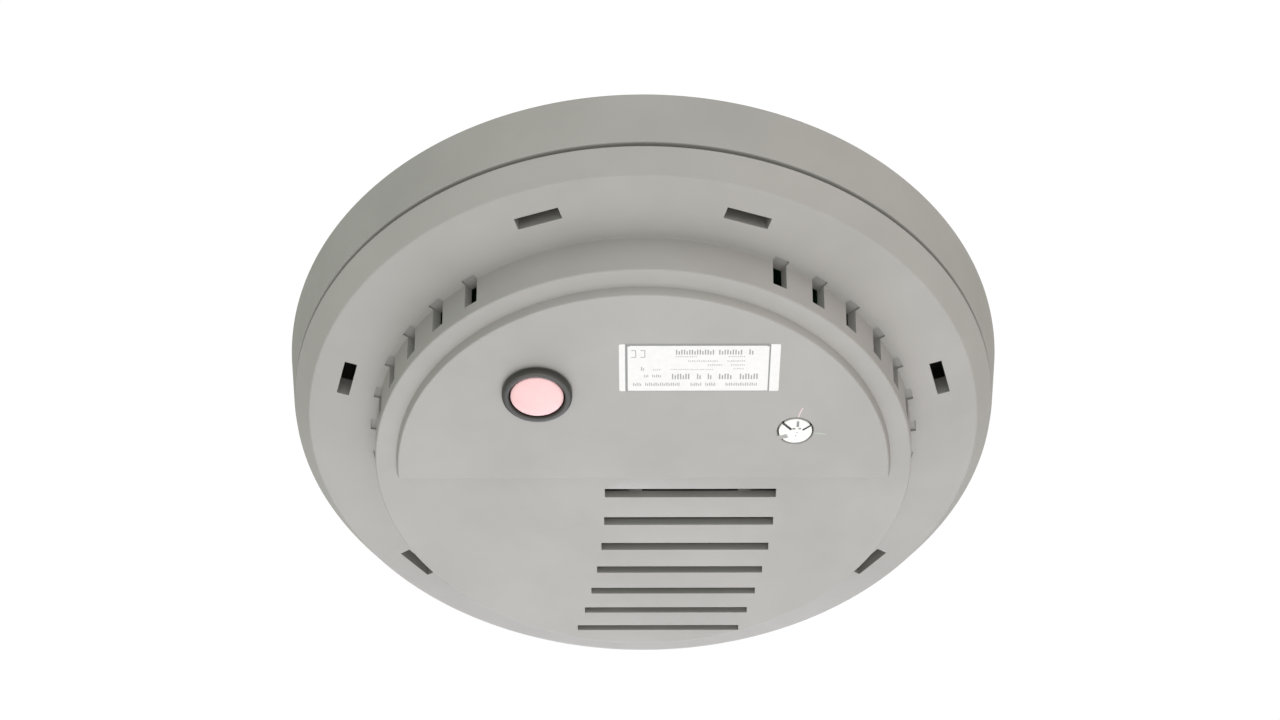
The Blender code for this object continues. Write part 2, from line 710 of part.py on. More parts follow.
def selector():
    top_flange = LAND_Z + WALL + GAP
    profile = [
        (0.0, -11.0 * MM),
        (1.6 * MM, -11.0 * MM),
        (1.6 * MM, top_flange + 0.8 * MM),
        (4.4 * MM, top_flange + 0.8 * MM),
        (4.4 * MM, top_flange),
        (DIAL_RADIUS, top_flange),
        (DIAL_RADIUS, LAND_Z - 0.1 * MM),
        (0.0, LAND_Z - 0.1 * MM),
    ]
    dial = turned("selector_dial", profile, SMALL_ROUND, DIAL)
    placed = []
    for angle in DIAL_SLOT_ANGLES:
        middle = DIAL + polar(1.9 * MM, angle, LAND_Z)
        placed.append(((1.9 * MM, 0.5 * MM, 0.9 * MM), Matrix.Translation(middle) @ turn(angle)))
    cut(dial, boxes("dial_slots", placed))
    as_part(dial, "white")
    half = 4.5 * MM
    body = box("selector_body", (DIAL.x - half, DIAL.y - half, -14.0 * MM),
               (DIAL.x + half, DIAL.y + half, PARTS_Z))
    bevel(body, 0.4 * MM)
    cut(body, rods("shaft_bore", 2.0 * MM, -16.0 * MM, -10.2 * MM, [DIAL], TINY_ROUND))
    as_part(body, "chip")


# ---------------------------------------------------------------- sounder

def sounder():
    horn = [
        (18.9 * MM, -16.0 * MM),
        (HORN_RADIUS, -16.0 * MM),
        (HORN_RADIUS, FACE_Z + WALL + GAP),
        (5.0 * MM, FACE_Z + WALL + GAP),
        (5.0 * MM, FACE_Z + WALL + GAP + 1.5 * MM),
        (16.5 * MM, FACE_Z + WALL + GAP + 1.5 * MM),
        (16.5 * MM, -18.0 * MM),
        (18.9 * MM, -18.0 * MM),
    ]
    as_part(turned("sounder_horn", horn, MIDDLE_ROUND, SOUNDER), "black")
    as_part(turned("piezo_disc", rod(18.5 * MM, -17.7 * MM, -17.3 * MM), MIDDLE_ROUND, SOUNDER),
            "brass")
    as_part(turned("piezo_ceramic", rod(12.5 * MM, -17.0 * MM, -16.7 * MM), SMALL_ROUND, SOUNDER),
            "ceramic")
    retainer = [(16.9 * MM, -16.1 * MM), (18.6 * MM, -16.1 * MM), (18.6 * MM, -17.0 * MM),
                (16.9 * MM, -17.0 * MM)]
    as_part(turned("sounder_retainer", retainer, MIDDLE_ROUND, SOUNDER), "black")
    touches = [(0.0, 0.0, -16.7), (8.0, 90.0, -16.7), (15.6, 210.0, -17.3)]
    for i, (radius, angle, face) in enumerate(touches):
        sounder_contact(i + 1, SOUNDER + polar(radius * MM, angle), face * MM)


def sounder_contact(number, touch, face):
    """A spring leaf from the board down to one electrode."""
    foot = PARTS_Z - 0.2 * MM
    tip = face + GAP + 0.2 * MM
    path = [(4.5 * MM, foot), (0.0, foot), (-2.6 * MM, foot - 1.2 * MM), (-2.6 * MM, foot - 3.0 * MM),
            (0.0, tip), (1.4 * MM, tip + 0.8 * MM)]
    leaf = strip(f"sounder_contact_{number}", path, 2.0 * MM, 0.3 * MM, Matrix.Translation(touch))
    as_part(leaf, "brass")


# ---------------------------------------------------------------- smoke chamber

def chamber_base():
    deck = turned("chamber_base", rod(CHAMBER_RADIUS, CHAMBER_DECK_Z, PARTS_Z), MIDDLE_ROUND, CHAMBER)
    middle_z = (CHAMBER_DECK_Z + CRADLE_Z) / 2 + 0.2 * MM
    height = CHAMBER_DECK_Z - CRADLE_Z + 0.4 * MM
    for name, angle in (("emitter", EMITTER_ANGLE), ("detector", DETECTOR_ANGLE)):
        place = Matrix.Translation(CHAMBER + polar(CRADLE_RADIUS, angle, middle_z)) @ turn(angle)
        join(deck, boxes(f"{name}_cradle", [((6.0 * MM, 8.0 * MM, height), place)]))
    for name, angle in (("emitter", EMITTER_ANGLE), ("detector", DETECTOR_ANGLE)):
        cut(deck, optics_rod(f"{name}_bore", angle, 3.1 * MM, 4.0 * MM, 15.0 * MM))
    return as_part(deck, "black")


def optics_rod(name, angle, radius, near, far):
    """A round bar at the optics' height, from one distance to another from the chamber's middle."""
    bm = bmesh.new()
    place = (Matrix.Translation(CHAMBER + polar((near + far) / 2, angle, OPTICS_Z)) @ turn(angle)
             @ Matrix.Rotation(math.radians(90.0), 4, "Y"))
    bmesh.ops.create_cone(bm, cap_ends=True, segments=SMALL_ROUND, radius1=radius, radius2=radius,
                          depth=far - near, matrix=place)
    return object_from(bm, name)


def optic(name, angle, material):
    """A 5 mm lensed package, its dome towards the chamber's middle."""
    radius, length = 2.5 * MM, 5.4 * MM
    dome = [(radius * math.cos(math.radians(a)), -length - radius * math.sin(math.radians(a)))
            for a in (0.0, 30.0, 60.0)]
    profile = [(0.0, 0.0), (2.8 * MM, 0.0), (2.8 * MM, -0.9 * MM), (radius, -0.9 * MM), *dome,
               (0.0, -length - radius)]
    made = turned(name, profile, SMALL_ROUND)
    made.matrix_world = (Matrix.Translation(CHAMBER + polar(OPTICS_RADIUS, angle, OPTICS_Z))
                         @ turn(angle) @ Matrix.Rotation(math.radians(90.0), 4, "Y"))
    return as_part(made, material)


def chamber_cover():
    lid = rod(CHAMBER_RADIUS, CHAMBER_CAP_Z, CHAMBER_CAP_Z + 1.2 * MM)
    cap = turned("chamber_cover", lid, MIDDLE_ROUND, CHAMBER)
    bottom, top = CHAMBER_CAP_Z + 0.8 * MM, CHAMBER_DECK_Z - GAP
    placed = []
    for i in range(VANES):
        angle = 360.0 * i / VANES
        middle = CHAMBER + polar(15.4 * MM, angle, (bottom + top) / 2)
        place = Matrix.Translation(middle) @ turn(angle + 50.0)
        placed.append(((4.2 * MM, 0.9 * MM, top - bottom), place))
    join(cap, boxes("labyrinth_vanes", placed))
    return as_part(cap, "black")


def insect_screen():
    """A fine cage round the labyrinth: a thin tube of wires round and up."""
    bm = bmesh.new()
    bottom, top = CHAMBER_CAP_Z + 1.2 * MM + GAP + 0.2 * MM, CHAMBER_DECK_Z - GAP - 0.2 * MM
    radius, around, rows = 17.8 * MM, 28, 3
    rings = []
    for row in range(rows + 1):
        z = bottom + (top - bottom) * row / rows
        rings.append([bm.verts.new(CHAMBER + polar(radius, 360.0 * i / around, z))
                      for i in range(around)])
    for low, high in zip(rings, rings[1:]):
        for i in range(around):
            after = (i + 1) % around
            bm.faces.new((low[i], low[after], high[after], high[i]))
    screen = object_from(bm, "insect_screen")
    wires = screen.modifiers.new("wires", "WIREFRAME")
    wires.thickness = 0.35 * MM
    wires.offset = 0.0
    wires.use_even_offset = True
    wires.use_boundary = True
    return as_part(screen, "steel")


def detector_shield():
    """A folded tin hood over the light detector, open below and towards the middle."""
    place = Matrix.Translation(CHAMBER + polar(CRADLE_RADIUS, DETECTOR_ANGLE)) @ turn(DETECTOR_ANGLE)
    side, top, bottom = 4.5 * MM, -20.0 * MM, -13.4 * MM
    path = [(-side, bottom), (-side, top), (side, top), (side, bottom)]
    hood = strip("detector_shield", path, 5.4 * MM, 0.3 * MM, place @ turn(90.0))
    return as_part(hood, "steel")


def smoke_chamber():
    chamber_base()
    chamber_cover()
    insect_screen()
    optic("ir_emitter", EMITTER_ANGLE, "clear")
    optic("photodiode", DETECTOR_ANGLE, "chip")
    detector_shield()


# ---------------------------------------------------------------- board and electronics

def circuit_board():
    board = turned("circuit_board", rod(BOARD_RADIUS, BOARD_Z, BOARD_TOP_Z), MIDDLE_ROUND)
    low, high = cell_pocket(POCKET_WALL + 0.4 * MM, -12.0 * MM, -5.0 * MM)
    cut(board, box("pocket_notch", (-60.0 * MM, low[1], low[2]), high))
    cut(board, rods("board_holes", 1.5 * MM, -12.0 * MM, -5.0 * MM, BOARD_SCREWS, TINY_ROUND))
    return as_part(board, "board")


def controller_chip():
    centre = Vector((36.0 * MM, -2.0 * MM, 0.0))
    body = box("controller_chip", (centre.x - 5.1 * MM, centre.y - 3.7 * MM, PARTS_Z - 2.4 * MM),
               (centre.x + 5.1 * MM, centre.y + 3.7 * MM, PARTS_Z - 0.1 * MM))
    pitch, legs = 1.27 * MM, 8
    placed = []
    for side in (-1.0, 1.0):
        for i in range(legs):
            x = centre.x + (i - (legs - 1) / 2) * pitch
            y = centre.y + side * 4.4 * MM
            placed.append(((0.45 * MM, 1.8 * MM, 0.3 * MM),
                           Matrix.Translation((x, y, PARTS_Z - 0.6 * MM))))
    join(body, boxes("chip_legs", placed))
    return as_part(body, "chip")


def capacitor(number, centre, radius, height):
    end = PARTS_Z - height
    profile = [(0.0, PARTS_Z), (radius - 0.4 * MM, PARTS_Z), (radius, PARTS_Z - 0.4 * MM),
               (radius, PARTS_Z - 1.2 * MM), (radius - 0.35 * MM, PARTS_Z - 1.6 * MM),
               (radius, PARTS_Z - 2.0 * MM), (radius, end + 0.4 * MM), (radius - 0.4 * MM, end),
               (0.0, end)]
    return as_part(turned(f"capacitor_{number}", profile, SMALL_ROUND, centre), "sleeve")


def sounder_coil():
    """The step-up coil that drives the sounder: a wound bobbin."""
    outer, waist = 5.0 * MM, 4.1 * MM
    end = PARTS_Z - 8.0 * MM
    profile = [(0.0, PARTS_Z), (outer, PARTS_Z), (outer, PARTS_Z - 1.4 * MM),
               (waist, PARTS_Z - 1.8 * MM), (waist, end + 1.8 * MM), (outer, end + 1.4 * MM),
               (outer, end), (0.0, end)]
    return as_part(turned("sounder_coil", profile, SMALL_ROUND, (40.5 * MM, 17.5 * MM, 0.0)), "ferrite")


def lithium_cell():
    can = CELL_LENGTH - 1.5 * MM
    profile = [(0.0, CELL_LENGTH), (3.2 * MM, CELL_LENGTH), (3.2 * MM, can), (7.7 * MM, can),
               (CELL_RADIUS, can - 0.8 * MM), (CELL_RADIUS, 0.6 * MM), (CELL_RADIUS - 0.6 * MM, 0.0),
               (0.0, 0.0)]
    cell = turned("lithium_cell", profile, SMALL_ROUND)
    start = Vector((CELL.x, CELL.y - CELL_LENGTH / 2, CELL.z))
    cell.matrix_world = Matrix.Translation(start) @ Matrix.Rotation(math.radians(-90.0), 4, "X")
    return as_part(cell, "cell")


def battery_contact(name, side):
    """A spring leaf at one end of the cell, its tail reaching out to the board."""
    wall = CELL.y + side * (POCKET_HALF[1] - 0.6 * MM)
    touch = CELL.y + side * (CELL_LENGTH / 2 + GAP + 0.2 * MM)
    path = [(wall, -18.0 * MM), (wall, -15.0 * MM), (touch, CELL.z), (wall, -9.4 * MM),
            (wall, -6.0 * MM)]
    sideways = Matrix.Translation((CELL.x, 0.0, 0.0)) @ turn(90.0)
    leaf = strip(name, path, 7.0 * MM, 0.3 * MM, sideways)
    ends = sorted((wall - side * 0.1 * MM, CELL.y + side * (POCKET_HALF[1] + 3.2 * MM)))
    tail = box(f"{name}_tail", (CELL.x - 1.5 * MM, ends[0], -10.1 * MM),
               (CELL.x + 1.5 * MM, ends[1], -9.7 * MM))
    join(leaf, tail)
    return as_part(leaf, "steel")


def electronics():
    circuit_board()
    controller_chip()
    capacitor(1, (37.5 * MM, 9.0 * MM, 0.0), 4.0 * MM, 11.5 * MM)
    capacitor(2, (-32.0 * MM, -22.5 * MM, 0.0), 3.0 * MM, 9.0 * MM)
    sounder_coil()
    lithium_cell()
    battery_contact("battery_contact_plus", 1.0)
    battery_contact("battery_contact_minus", -1.0)


# ---------------------------------------------------------------- assembly

clear_scene()
PARTS = collection("smoke_detector")
CUTTERS = collection("cutters")
CUTTERS.hide_render = True
MATERIALS = make_materials()

mounting_plate()
base_housing()
front_cover()
cover_screws()
board_screws()
rating_label()
button_bezel()
bezel_nut()
test_button()
button_spring()
button_switch()
status_light()
selector()
sounder()
smoke_chamber()
electronics()
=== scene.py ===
import math

import bmesh
import bpy
from mathutils import Matrix, Vector


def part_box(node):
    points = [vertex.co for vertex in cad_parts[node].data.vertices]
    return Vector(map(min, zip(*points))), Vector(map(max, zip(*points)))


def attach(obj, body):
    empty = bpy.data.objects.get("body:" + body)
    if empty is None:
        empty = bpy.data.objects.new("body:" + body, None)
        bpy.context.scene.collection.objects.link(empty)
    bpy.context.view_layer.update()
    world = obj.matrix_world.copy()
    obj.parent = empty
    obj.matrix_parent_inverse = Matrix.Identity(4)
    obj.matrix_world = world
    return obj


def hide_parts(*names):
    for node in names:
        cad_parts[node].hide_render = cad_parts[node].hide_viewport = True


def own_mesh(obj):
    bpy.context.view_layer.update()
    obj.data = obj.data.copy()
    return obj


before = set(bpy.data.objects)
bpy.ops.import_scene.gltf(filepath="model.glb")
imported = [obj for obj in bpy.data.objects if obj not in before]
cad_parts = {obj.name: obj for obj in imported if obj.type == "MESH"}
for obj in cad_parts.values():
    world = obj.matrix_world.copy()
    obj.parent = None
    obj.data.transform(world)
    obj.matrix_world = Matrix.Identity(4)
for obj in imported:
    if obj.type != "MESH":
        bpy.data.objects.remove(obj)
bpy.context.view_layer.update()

MM = 0.001
HEAD, PLATE = "detector_head", "ceiling_plate"

COVER_LOW, COVER_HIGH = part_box("front_cover")
BASE_LOW, BASE_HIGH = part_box("base_housing")
BEZEL_LOW, BEZEL_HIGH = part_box("button_bezel")
LABEL_LOW, LABEL_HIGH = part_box("rating_label")
DIAL_LOW_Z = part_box("selector_dial")[0].z
PLATE_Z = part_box("mounting_plate")[0].z

# Heights and radii of the turned body. The outer limits come from the frame.
REAR_RADIUS = BASE_HIGH.x
REAR_EDGE_Z = BASE_HIGH.z
SEAM_RADIUS = COVER_HIGH.x
SEAM_TOP_Z = -12.4 * MM
SEAM_BOTTOM_Z = -13.3 * MM
FLANGE_RADIUS, FLANGE_Z = 66.5 * MM, -17.8 * MM
DRUM_RADIUS, DRUM_Z = 53.1 * MM, -18.9 * MM  # where the flange meets the drum's drafted wall
FACE_RADIUS, FACE_Z = 52.6 * MM, -27.4 * MM
LAND_Z = COVER_LOW.z
LAND_FOOT_RADIUS, LAND_RADIUS = 48.5 * MM, 48.0 * MM
LAND_EDGE_Y = -0.4 * MM
WALL = 1.8 * MM
GAP = 0.3 * MM  # between pieces that don't touch
OVERLAP = 0.4 * MM  # how far a joined piece runs into the shell
ROUND = 240  # sides of the large turned pieces


def centre_of(node):
    low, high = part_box(node)
    middle = (low + high) / 2
    return Vector((middle.x, middle.y, 0.0))


BUTTON = centre_of("button_bezel")
DIAL = centre_of("selector_dial")
LABEL = centre_of("rating_label")
SOUNDER = centre_of("sounder_horn")


# ------------------------------------------------------------------ mesh helpers

ON_AXIS = 1e-7  # a radius below this is a point on the axis
FILLET_SHARE = 0.48  # of each side next to a corner, the most that its fillet takes


def polar(radius, degrees, z=0.0):
    angle = math.radians(degrees)
    return Vector((radius * math.cos(angle), radius * math.sin(angle), z))


def turn(degrees, axis="Z"):
    return Matrix.Rotation(math.radians(degrees), 4, axis)


def shift(x, y, z=0.0):
    return Matrix.Translation((x, y, z))


def new_object(bm, name):
    mesh = bpy.data.meshes.new(name)
    bmesh.ops.recalc_face_normals(bm, faces=bm.faces)
    bm.to_mesh(mesh)
    bm.free()
    obj = bpy.data.objects.new(name, mesh)
    bpy.context.scene.collection.objects.link(obj)
    return obj


def settle(obj):
    """Replaces the object's mesh by what its modifiers make of it."""
    bpy.context.view_layer.update()
    graph = bpy.context.evaluated_depsgraph_get()
    made = bpy.data.meshes.new_from_object(obj.evaluated_get(graph))
    obj.modifiers.clear()
    obj.data = made
    return obj


def carve(obj, other, operation="DIFFERENCE"):
    """Cuts the other object away, or joins it on, and removes it."""
    step = obj.modifiers.new("carve", "BOOLEAN")
    step.operation = operation
    step.object = other
    step.solver = "EXACT"
    settle(obj)
    bpy.data.objects.remove(other, do_unlink=True)
    return obj


def smooth(obj, angle=28.0):
    """Smooth shading, with edges sharper than the angle kept."""
    obj.data.shade_smooth()
    obj.data.set_sharp_from_angle(angle=math.radians(angle))
    weigh = obj.modifiers.new("weigh", "WEIGHTED_NORMAL")
    weigh.keep_sharp = True
    weigh.weight = 60
    return obj


def rounded(points, steps=4):
    """A profile of (radius, z, fillet) corners as (radius, z) points with round corners."""
    out = []
    count = len(points)
    for i, (x, z, fillet) in enumerate(points):
        if fillet <= 0.0 or i in (0, count - 1) and points[0][0] == 0.0:
            out.append((x, z))
            continue
        here = Vector((x, z))
        before = Vector(points[i - 1][:2]) - here
        after = Vector(points[(i + 1) % count][:2]) - here
        reach = min(fillet / math.tan(before.angle(after) / 2),
                    before.length * FILLET_SHARE, after.length * FILLET_SHARE)
        start, end = here + before.normalized() * reach, here + after.normalized() * reach
        for k in range(steps + 1):
            t = k / steps
            out.append(tuple(start * (1 - t) ** 2 + here * 2 * t * (1 - t) + end * t ** 2))
    return out


def lathe(name, profile, segments=ROUND, at=(0.0, 0.0, 0.0)):
    """A profile turned about the vertical through a point; a loop unless it starts on the axis."""
    bm = bmesh.new()
    rings = []
    for radius, z in profile:
        if radius < ON_AXIS:
            rings.append([bm.verts.new((at[0], at[1], z))])
            continue
        rings.append([bm.verts.new((at[0] + radius * math.cos(2 * math.pi * i / segments),
                                    at[1] + radius * math.sin(2 * math.pi * i / segments), z))
                      for i in range(segments)])
    pairs = list(zip(rings, rings[1:]))
    if len(rings[0]) > 1:
        pairs.append((rings[-1], rings[0]))
    for one, two in pairs:
        for i in range(segments):
            j = (i + 1) % segments
            if len(one) == 1:
                bm.faces.new((one[0], two[i], two[j]))
            elif len(two) == 1:
                bm.faces.new((one[i], two[0], one[j]))
            else:
                bm.faces.new((one[i], two[i], two[j], one[j]))
    return new_object(bm, name)


def loft(bm, rings):
    """Closed sections joined in order, with a flat cap at each end."""
    made = [[bm.verts.new(point) for point in ring] for ring in rings]
    count = len(made[0])
    for one, two in zip(made, made[1:]):
        for i in range(count):
            j = (i + 1) % count
            bm.faces.new((one[i], one[j], two[j], two[i]))
    bm.faces.new(made[0])
    bm.faces.new(list(reversed(made[-1])))


def rounded_rectangle(half_x, half_y, radius, steps=3):
    """The outline (x, y) of a rectangle with round corners, about the origin."""
    points = []
    for corner, (sx, sy) in enumerate(((1, 1), (-1, 1), (-1, -1), (1, -1))):
        for k in range(steps + 1):
            angle = math.radians(90.0 * (corner + k / steps))
            points.append((sx * (half_x - radius) + radius * math.cos(angle),
                           sy * (half_y - radius) + radius * math.sin(angle)))
    return points


def add_slot(bm, place, half_x, half_y, radius, levels, steps=3):
    """A slot's cutter: a rounded rectangle lofted through (height, growth) levels."""
    rings = []
    for height, grow in levels:
        ring = rounded_rectangle(half_x + grow, half_y + grow, radius + grow, steps)
        rings.append([place @ Vector((x, y, height)) for x, y in ring])
    loft(bm, rings)


def mouth(depth, above, edge):
    """Levels of a cutter whose mouth is rounded by edge at height 0, cutting downwards."""
    turns = [(-edge, 0.0)] + [(-edge + edge * math.sin(a), edge - edge * math.cos(a))
                              for a in (math.radians(30.0), math.radians(60.0))]
    return [(-depth, 0.0)] + turns + [(0.0, edge), (above, edge + 0.02 * MM)]


def arc(radius, start, end, steps=8):
    """Points (x, y) along an arc about the axis."""
    return [polar(radius, start + (end - start) * i / steps).to_2d() for i in range(steps + 1)]


def add_sector(bm, inner, outer, start, end, levels, steps=8):
    """A block between two radii and two angles, lofted through (height, growth) levels."""
    rings = []
    for height, grow in levels:
        more = math.degrees(grow / outer)
        ring = arc(outer + grow, start - more, end + more, steps)
        ring += arc(inner - grow, end + more, start - more, steps)
        rings.append([Vector((x, y, height)) for x, y in ring])
    loft(bm, rings)


def block(bottom, top, edge=0.2 * MM):
    """Levels of a boss with softened edges at both ends."""
    return [(bottom, -edge), (bottom + edge, 0.0), (top - edge, 0.0), (top, -edge)]


def add_plug(bm, at, levels, count=48):
    """A round cutter or boss through (radius, z) levels."""
    angles = [2 * math.pi * i / count for i in range(count)]
    loft(bm, [[Vector((at[0] + radius * math.cos(angle), at[1] + radius * math.sin(angle), z))
               for angle in angles] for radius, z in levels])


# ------------------------------------------------------------------ materials

NOISE_RANGE = (0.3, 0.7)  # where nearly all of a noise texture's values lie


def nodes_of(name):
    """A new material, its node tree and its shader."""
    made = bpy.data.materials.new(name)
    made.use_nodes = True
    tree = made.node_tree
    return made, tree, tree.nodes["Principled BSDF"]


def link(tree, start, end):
    tree.links.new(start, end)


def noise(tree, scale, detail=2.0, roughness=0.5):
    texture = tree.nodes.new("ShaderNodeTexNoise")
    texture.inputs["Scale"].default_value = scale
    texture.inputs["Detail"].default_value = detail
    texture.inputs["Roughness"].default_value = roughness
    link(tree, coordinates(tree), texture.inputs["Vector"])
    return texture.outputs["Fac"]


def coordinates(tree):
    found = tree.nodes.get("place")
    if found is None:
        found = tree.nodes.new("ShaderNodeTexCoord")
        found.name = "place"
    return found.outputs["Object"]


def ramp(tree, value, stops):
    """A colour for the value, through (value, colour) stops."""
    made = tree.nodes.new("ShaderNodeValToRGB")
    elements = made.color_ramp.elements
    while len(elements) < len(stops):
        elements.new(0.5)
    for element, (place, colour) in zip(elements, stops):
        element.position = place
        element.color = (*colour, 1.0)
    link(tree, value, made.inputs["Fac"])
    return made.outputs["Color"]


def scaled(tree, value, low, high):
    """A noise value spread between low and high."""
    made = tree.nodes.new("ShaderNodeMapRange")
    made.inputs["From Min"].default_value, made.inputs["From Max"].default_value = NOISE_RANGE
    made.inputs["To Min"].default_value = low
    made.inputs["To Max"].default_value = high
    link(tree, value, made.inputs["Value"])
    return made.outputs["Result"]


def bump(tree, shader, height, strength, distance):
    made = tree.nodes.new("ShaderNodeBump")
    made.inputs["Strength"].default_value = strength
    made.inputs["Distance"].default_value = distance
    link(tree, height, made.inputs["Height"])
    link(tree, made.outputs["Normal"], shader.inputs["Normal"])


def moulded(name, colour, roughness, grain=2600.0, depth=0.5, mottle=0.04):
    """Injection-moulded plastic: fine spark-eroded grain, faint flow mottling."""
    made, tree, shader = nodes_of(name)
    dark = tuple(c * (1.0 - mottle) for c in colour)
    light = tuple(min(1.0, c * (1.0 + mottle)) for c in colour)
    link(tree, ramp(tree, noise(tree, 45.0, 3.0), [(0.35, dark), (0.65, light)]),
         shader.inputs["Base Color"])
    fine = noise(tree, grain, 3.0, 0.6)
    link(tree, scaled(tree, noise(tree, 300.0, 4.0), roughness - 0.05, roughness + 0.05),
         shader.inputs["Roughness"])
    bump(tree, shader, fine, depth, 0.03 * MM)
    return made


def metal(name, colour, roughness, grain=900.0):
    """Plated or rolled metal with a faint uneven sheen."""
    made, tree, shader = nodes_of(name)
    shader.inputs["Metallic"].default_value = 1.0
    dark = tuple(c * 0.9 for c in colour)
    link(tree, ramp(tree, noise(tree, grain, 4.0), [(0.3, dark), (0.7, colour)]),
         shader.inputs["Base Color"])
    link(tree, scaled(tree, noise(tree, grain * 2, 2.0), roughness - 0.06, roughness + 0.08),
         shader.inputs["Roughness"])
    bump(tree, shader, noise(tree, grain * 3, 2.0), 0.15, 0.01 * MM)
    return made


def lens_plastic(name):
    """Translucent pink cap, softly lit through its thickness."""
    made, tree, shader = nodes_of(name)
    dark, light = (0.90, 0.56, 0.575), (0.95, 0.61, 0.625)
    link(tree, ramp(tree, noise(tree, 160.0, 3.0), [(0.3, dark), (0.7, light)]),
         shader.inputs["Base Color"])
    shader.inputs["Subsurface Weight"].default_value = 0.35
    shader.inputs["Subsurface Radius"].default_value = (1.0, 0.5, 0.5)
    shader.inputs["Subsurface Scale"].default_value = 1.2 * MM
    link(tree, scaled(tree, noise(tree, 500.0, 3.0), 0.28, 0.36), shader.inputs["Roughness"])
    bump(tree, shader, noise(tree, 1500.0, 2.0), 0.2, 0.01 * MM)
    return made


def clear_plastic(name, colour):
    made, tree, shader = nodes_of(name)
    dark = tuple(c * 0.96 for c in colour)
    link(tree, ramp(tree, noise(tree, 200.0), [(0.3, dark), (0.7, colour)]),
         shader.inputs["Base Color"])
    shader.inputs["Transmission Weight"].default_value = 0.85
    link(tree, scaled(tree, noise(tree, 700.0), 0.06, 0.14), shader.inputs["Roughness"])
    return made


def printed(name, colour, roughness=0.55):
    """Ink or paper, slightly uneven."""
    made, tree, shader = nodes_of(name)
    dark = tuple(c * 0.96 for c in colour)
    link(tree, ramp(tree, noise(tree, 900.0, 4.0), [(0.35, dark), (0.65, colour)]),
         shader.inputs["Base Color"])
    link(tree, scaled(tree, noise(tree, 1200.0), roughness - 0.05, roughness + 0.05),
         shader.inputs["Roughness"])
    bump(tree, shader, noise(tree, 2200.0, 2.0), 0.12, 0.01 * MM)
    return made


HOUSING = moulded("housing_plastic", (0.385, 0.375, 0.365), 0.52)
INNER = moulded("inner_plastic", (0.62, 0.61, 0.58), 0.6)
BLACK = moulded("black_plastic", (0.044, 0.044, 0.041), 0.42, depth=0.35)
INK = printed("black_ink", (0.02, 0.02, 0.02))
DARK = moulded("chamber_plastic", (0.014, 0.014, 0.015), 0.75)
WHITE = moulded("white_plastic", (0.86, 0.86, 0.85), 0.42, depth=0.2, mottle=0.015)
LENS = lens_plastic("pink_lens")
CLEAR = clear_plastic("clear_acrylic", (0.92, 0.95, 0.96))
LABEL_WHITE = printed("label_paper", (0.84, 0.835, 0.84))
LABEL_GREY = printed("label_ink", (0.27, 0.275, 0.28))
LABEL_TEXT = printed("label_text_ink", (0.34, 0.34, 0.35))
LABEL_FAINT = printed("label_faint_ink", (0.38, 0.38, 0.39))
MARK_RED = printed("mark_red", (0.74, 0.60, 0.62))
MARK_GREEN = printed("mark_green", (0.48, 0.55, 0.47))
STEEL = metal("plated_steel", (0.62, 0.62, 0.63), 0.32)
BRASS = metal("brass", (0.78, 0.60, 0.28), 0.34)
CERAMIC = moulded("piezo_ceramic", (0.78, 0.77, 0.73), 0.5)
EPOXY = moulded("chip_epoxy", (0.02, 0.02, 0.022), 0.55)
SLEEVE = moulded("capacitor_sleeve", (0.03, 0.05, 0.16), 0.3, depth=0.1)
FERRITE = moulded("ferrite", (0.055, 0.055, 0.06), 0.7)
WRAP = moulded("cell_wrap", (0.1, 0.16, 0.34), 0.35, depth=0.1)
BOARD = moulded("circuit_board_green", (0.02, 0.17, 0.07), 0.4, grain=900.0)


def dressed(obj, material, body, slot, *nodes):
    """Gives a finished piece its material and body, and hides the CAD nodes it stands for."""
    obj.data.materials.clear()
    obj.data.materials.append(material)
    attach(obj, body)
    if nodes:
        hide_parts(*nodes)
    return obj


# ------------------------------------------------------------------ base housing

FLOOR_TOP_Z, FLOOR_Z = -3.6 * MM, -5.2 * MM
TONGUE_RADIUS, TONGUE_INSIDE_RADIUS, TONGUE_TOP_Z = 67.6 * MM, 66.0 * MM, -9.8 * MM
BAYONET_ANGLES = [45.0, 135.0, 225.0, 315.0]
LUG_RADII, LUG_HALF_ANGLE, LUG_HEIGHTS = (63.5 * MM, 70.3 * MM), 6.0, (-1.6 * MM, -0.5 * MM)
POCKET_HALF_WIDTH, POCKET_WALL, POCKET_END_SPACE = 9.0 * MM, 1.2 * MM, 3.2 * MM
POCKET_EDGE, POCKET_WALL_EDGE, POCKET_FLOOR_Z = 0.3 * MM, 0.6 * MM, -21.0 * MM
BOARD_POST_RADIUS, BOARD_POST_Z, BOARD_PILOT_RADIUS = 3.0 * MM, -7.1 * MM, 1.4 * MM
COVER_POST_RADIUS, COVER_POST_Z, SCREW_HOLE_RADIUS = 4.2 * MM, -7.0 * MM, 1.5 * MM
HEAD_HOLE_RADIUS, HEAD_SEAT_Z = 2.9 * MM, -5.3 * MM
COVER_SCREWS = [centre_of(f"cover_screw_{i}") for i in range(1, 5)]
BOARD_SCREWS = [centre_of(f"board_screw_{i}") for i in range(1, 5)]


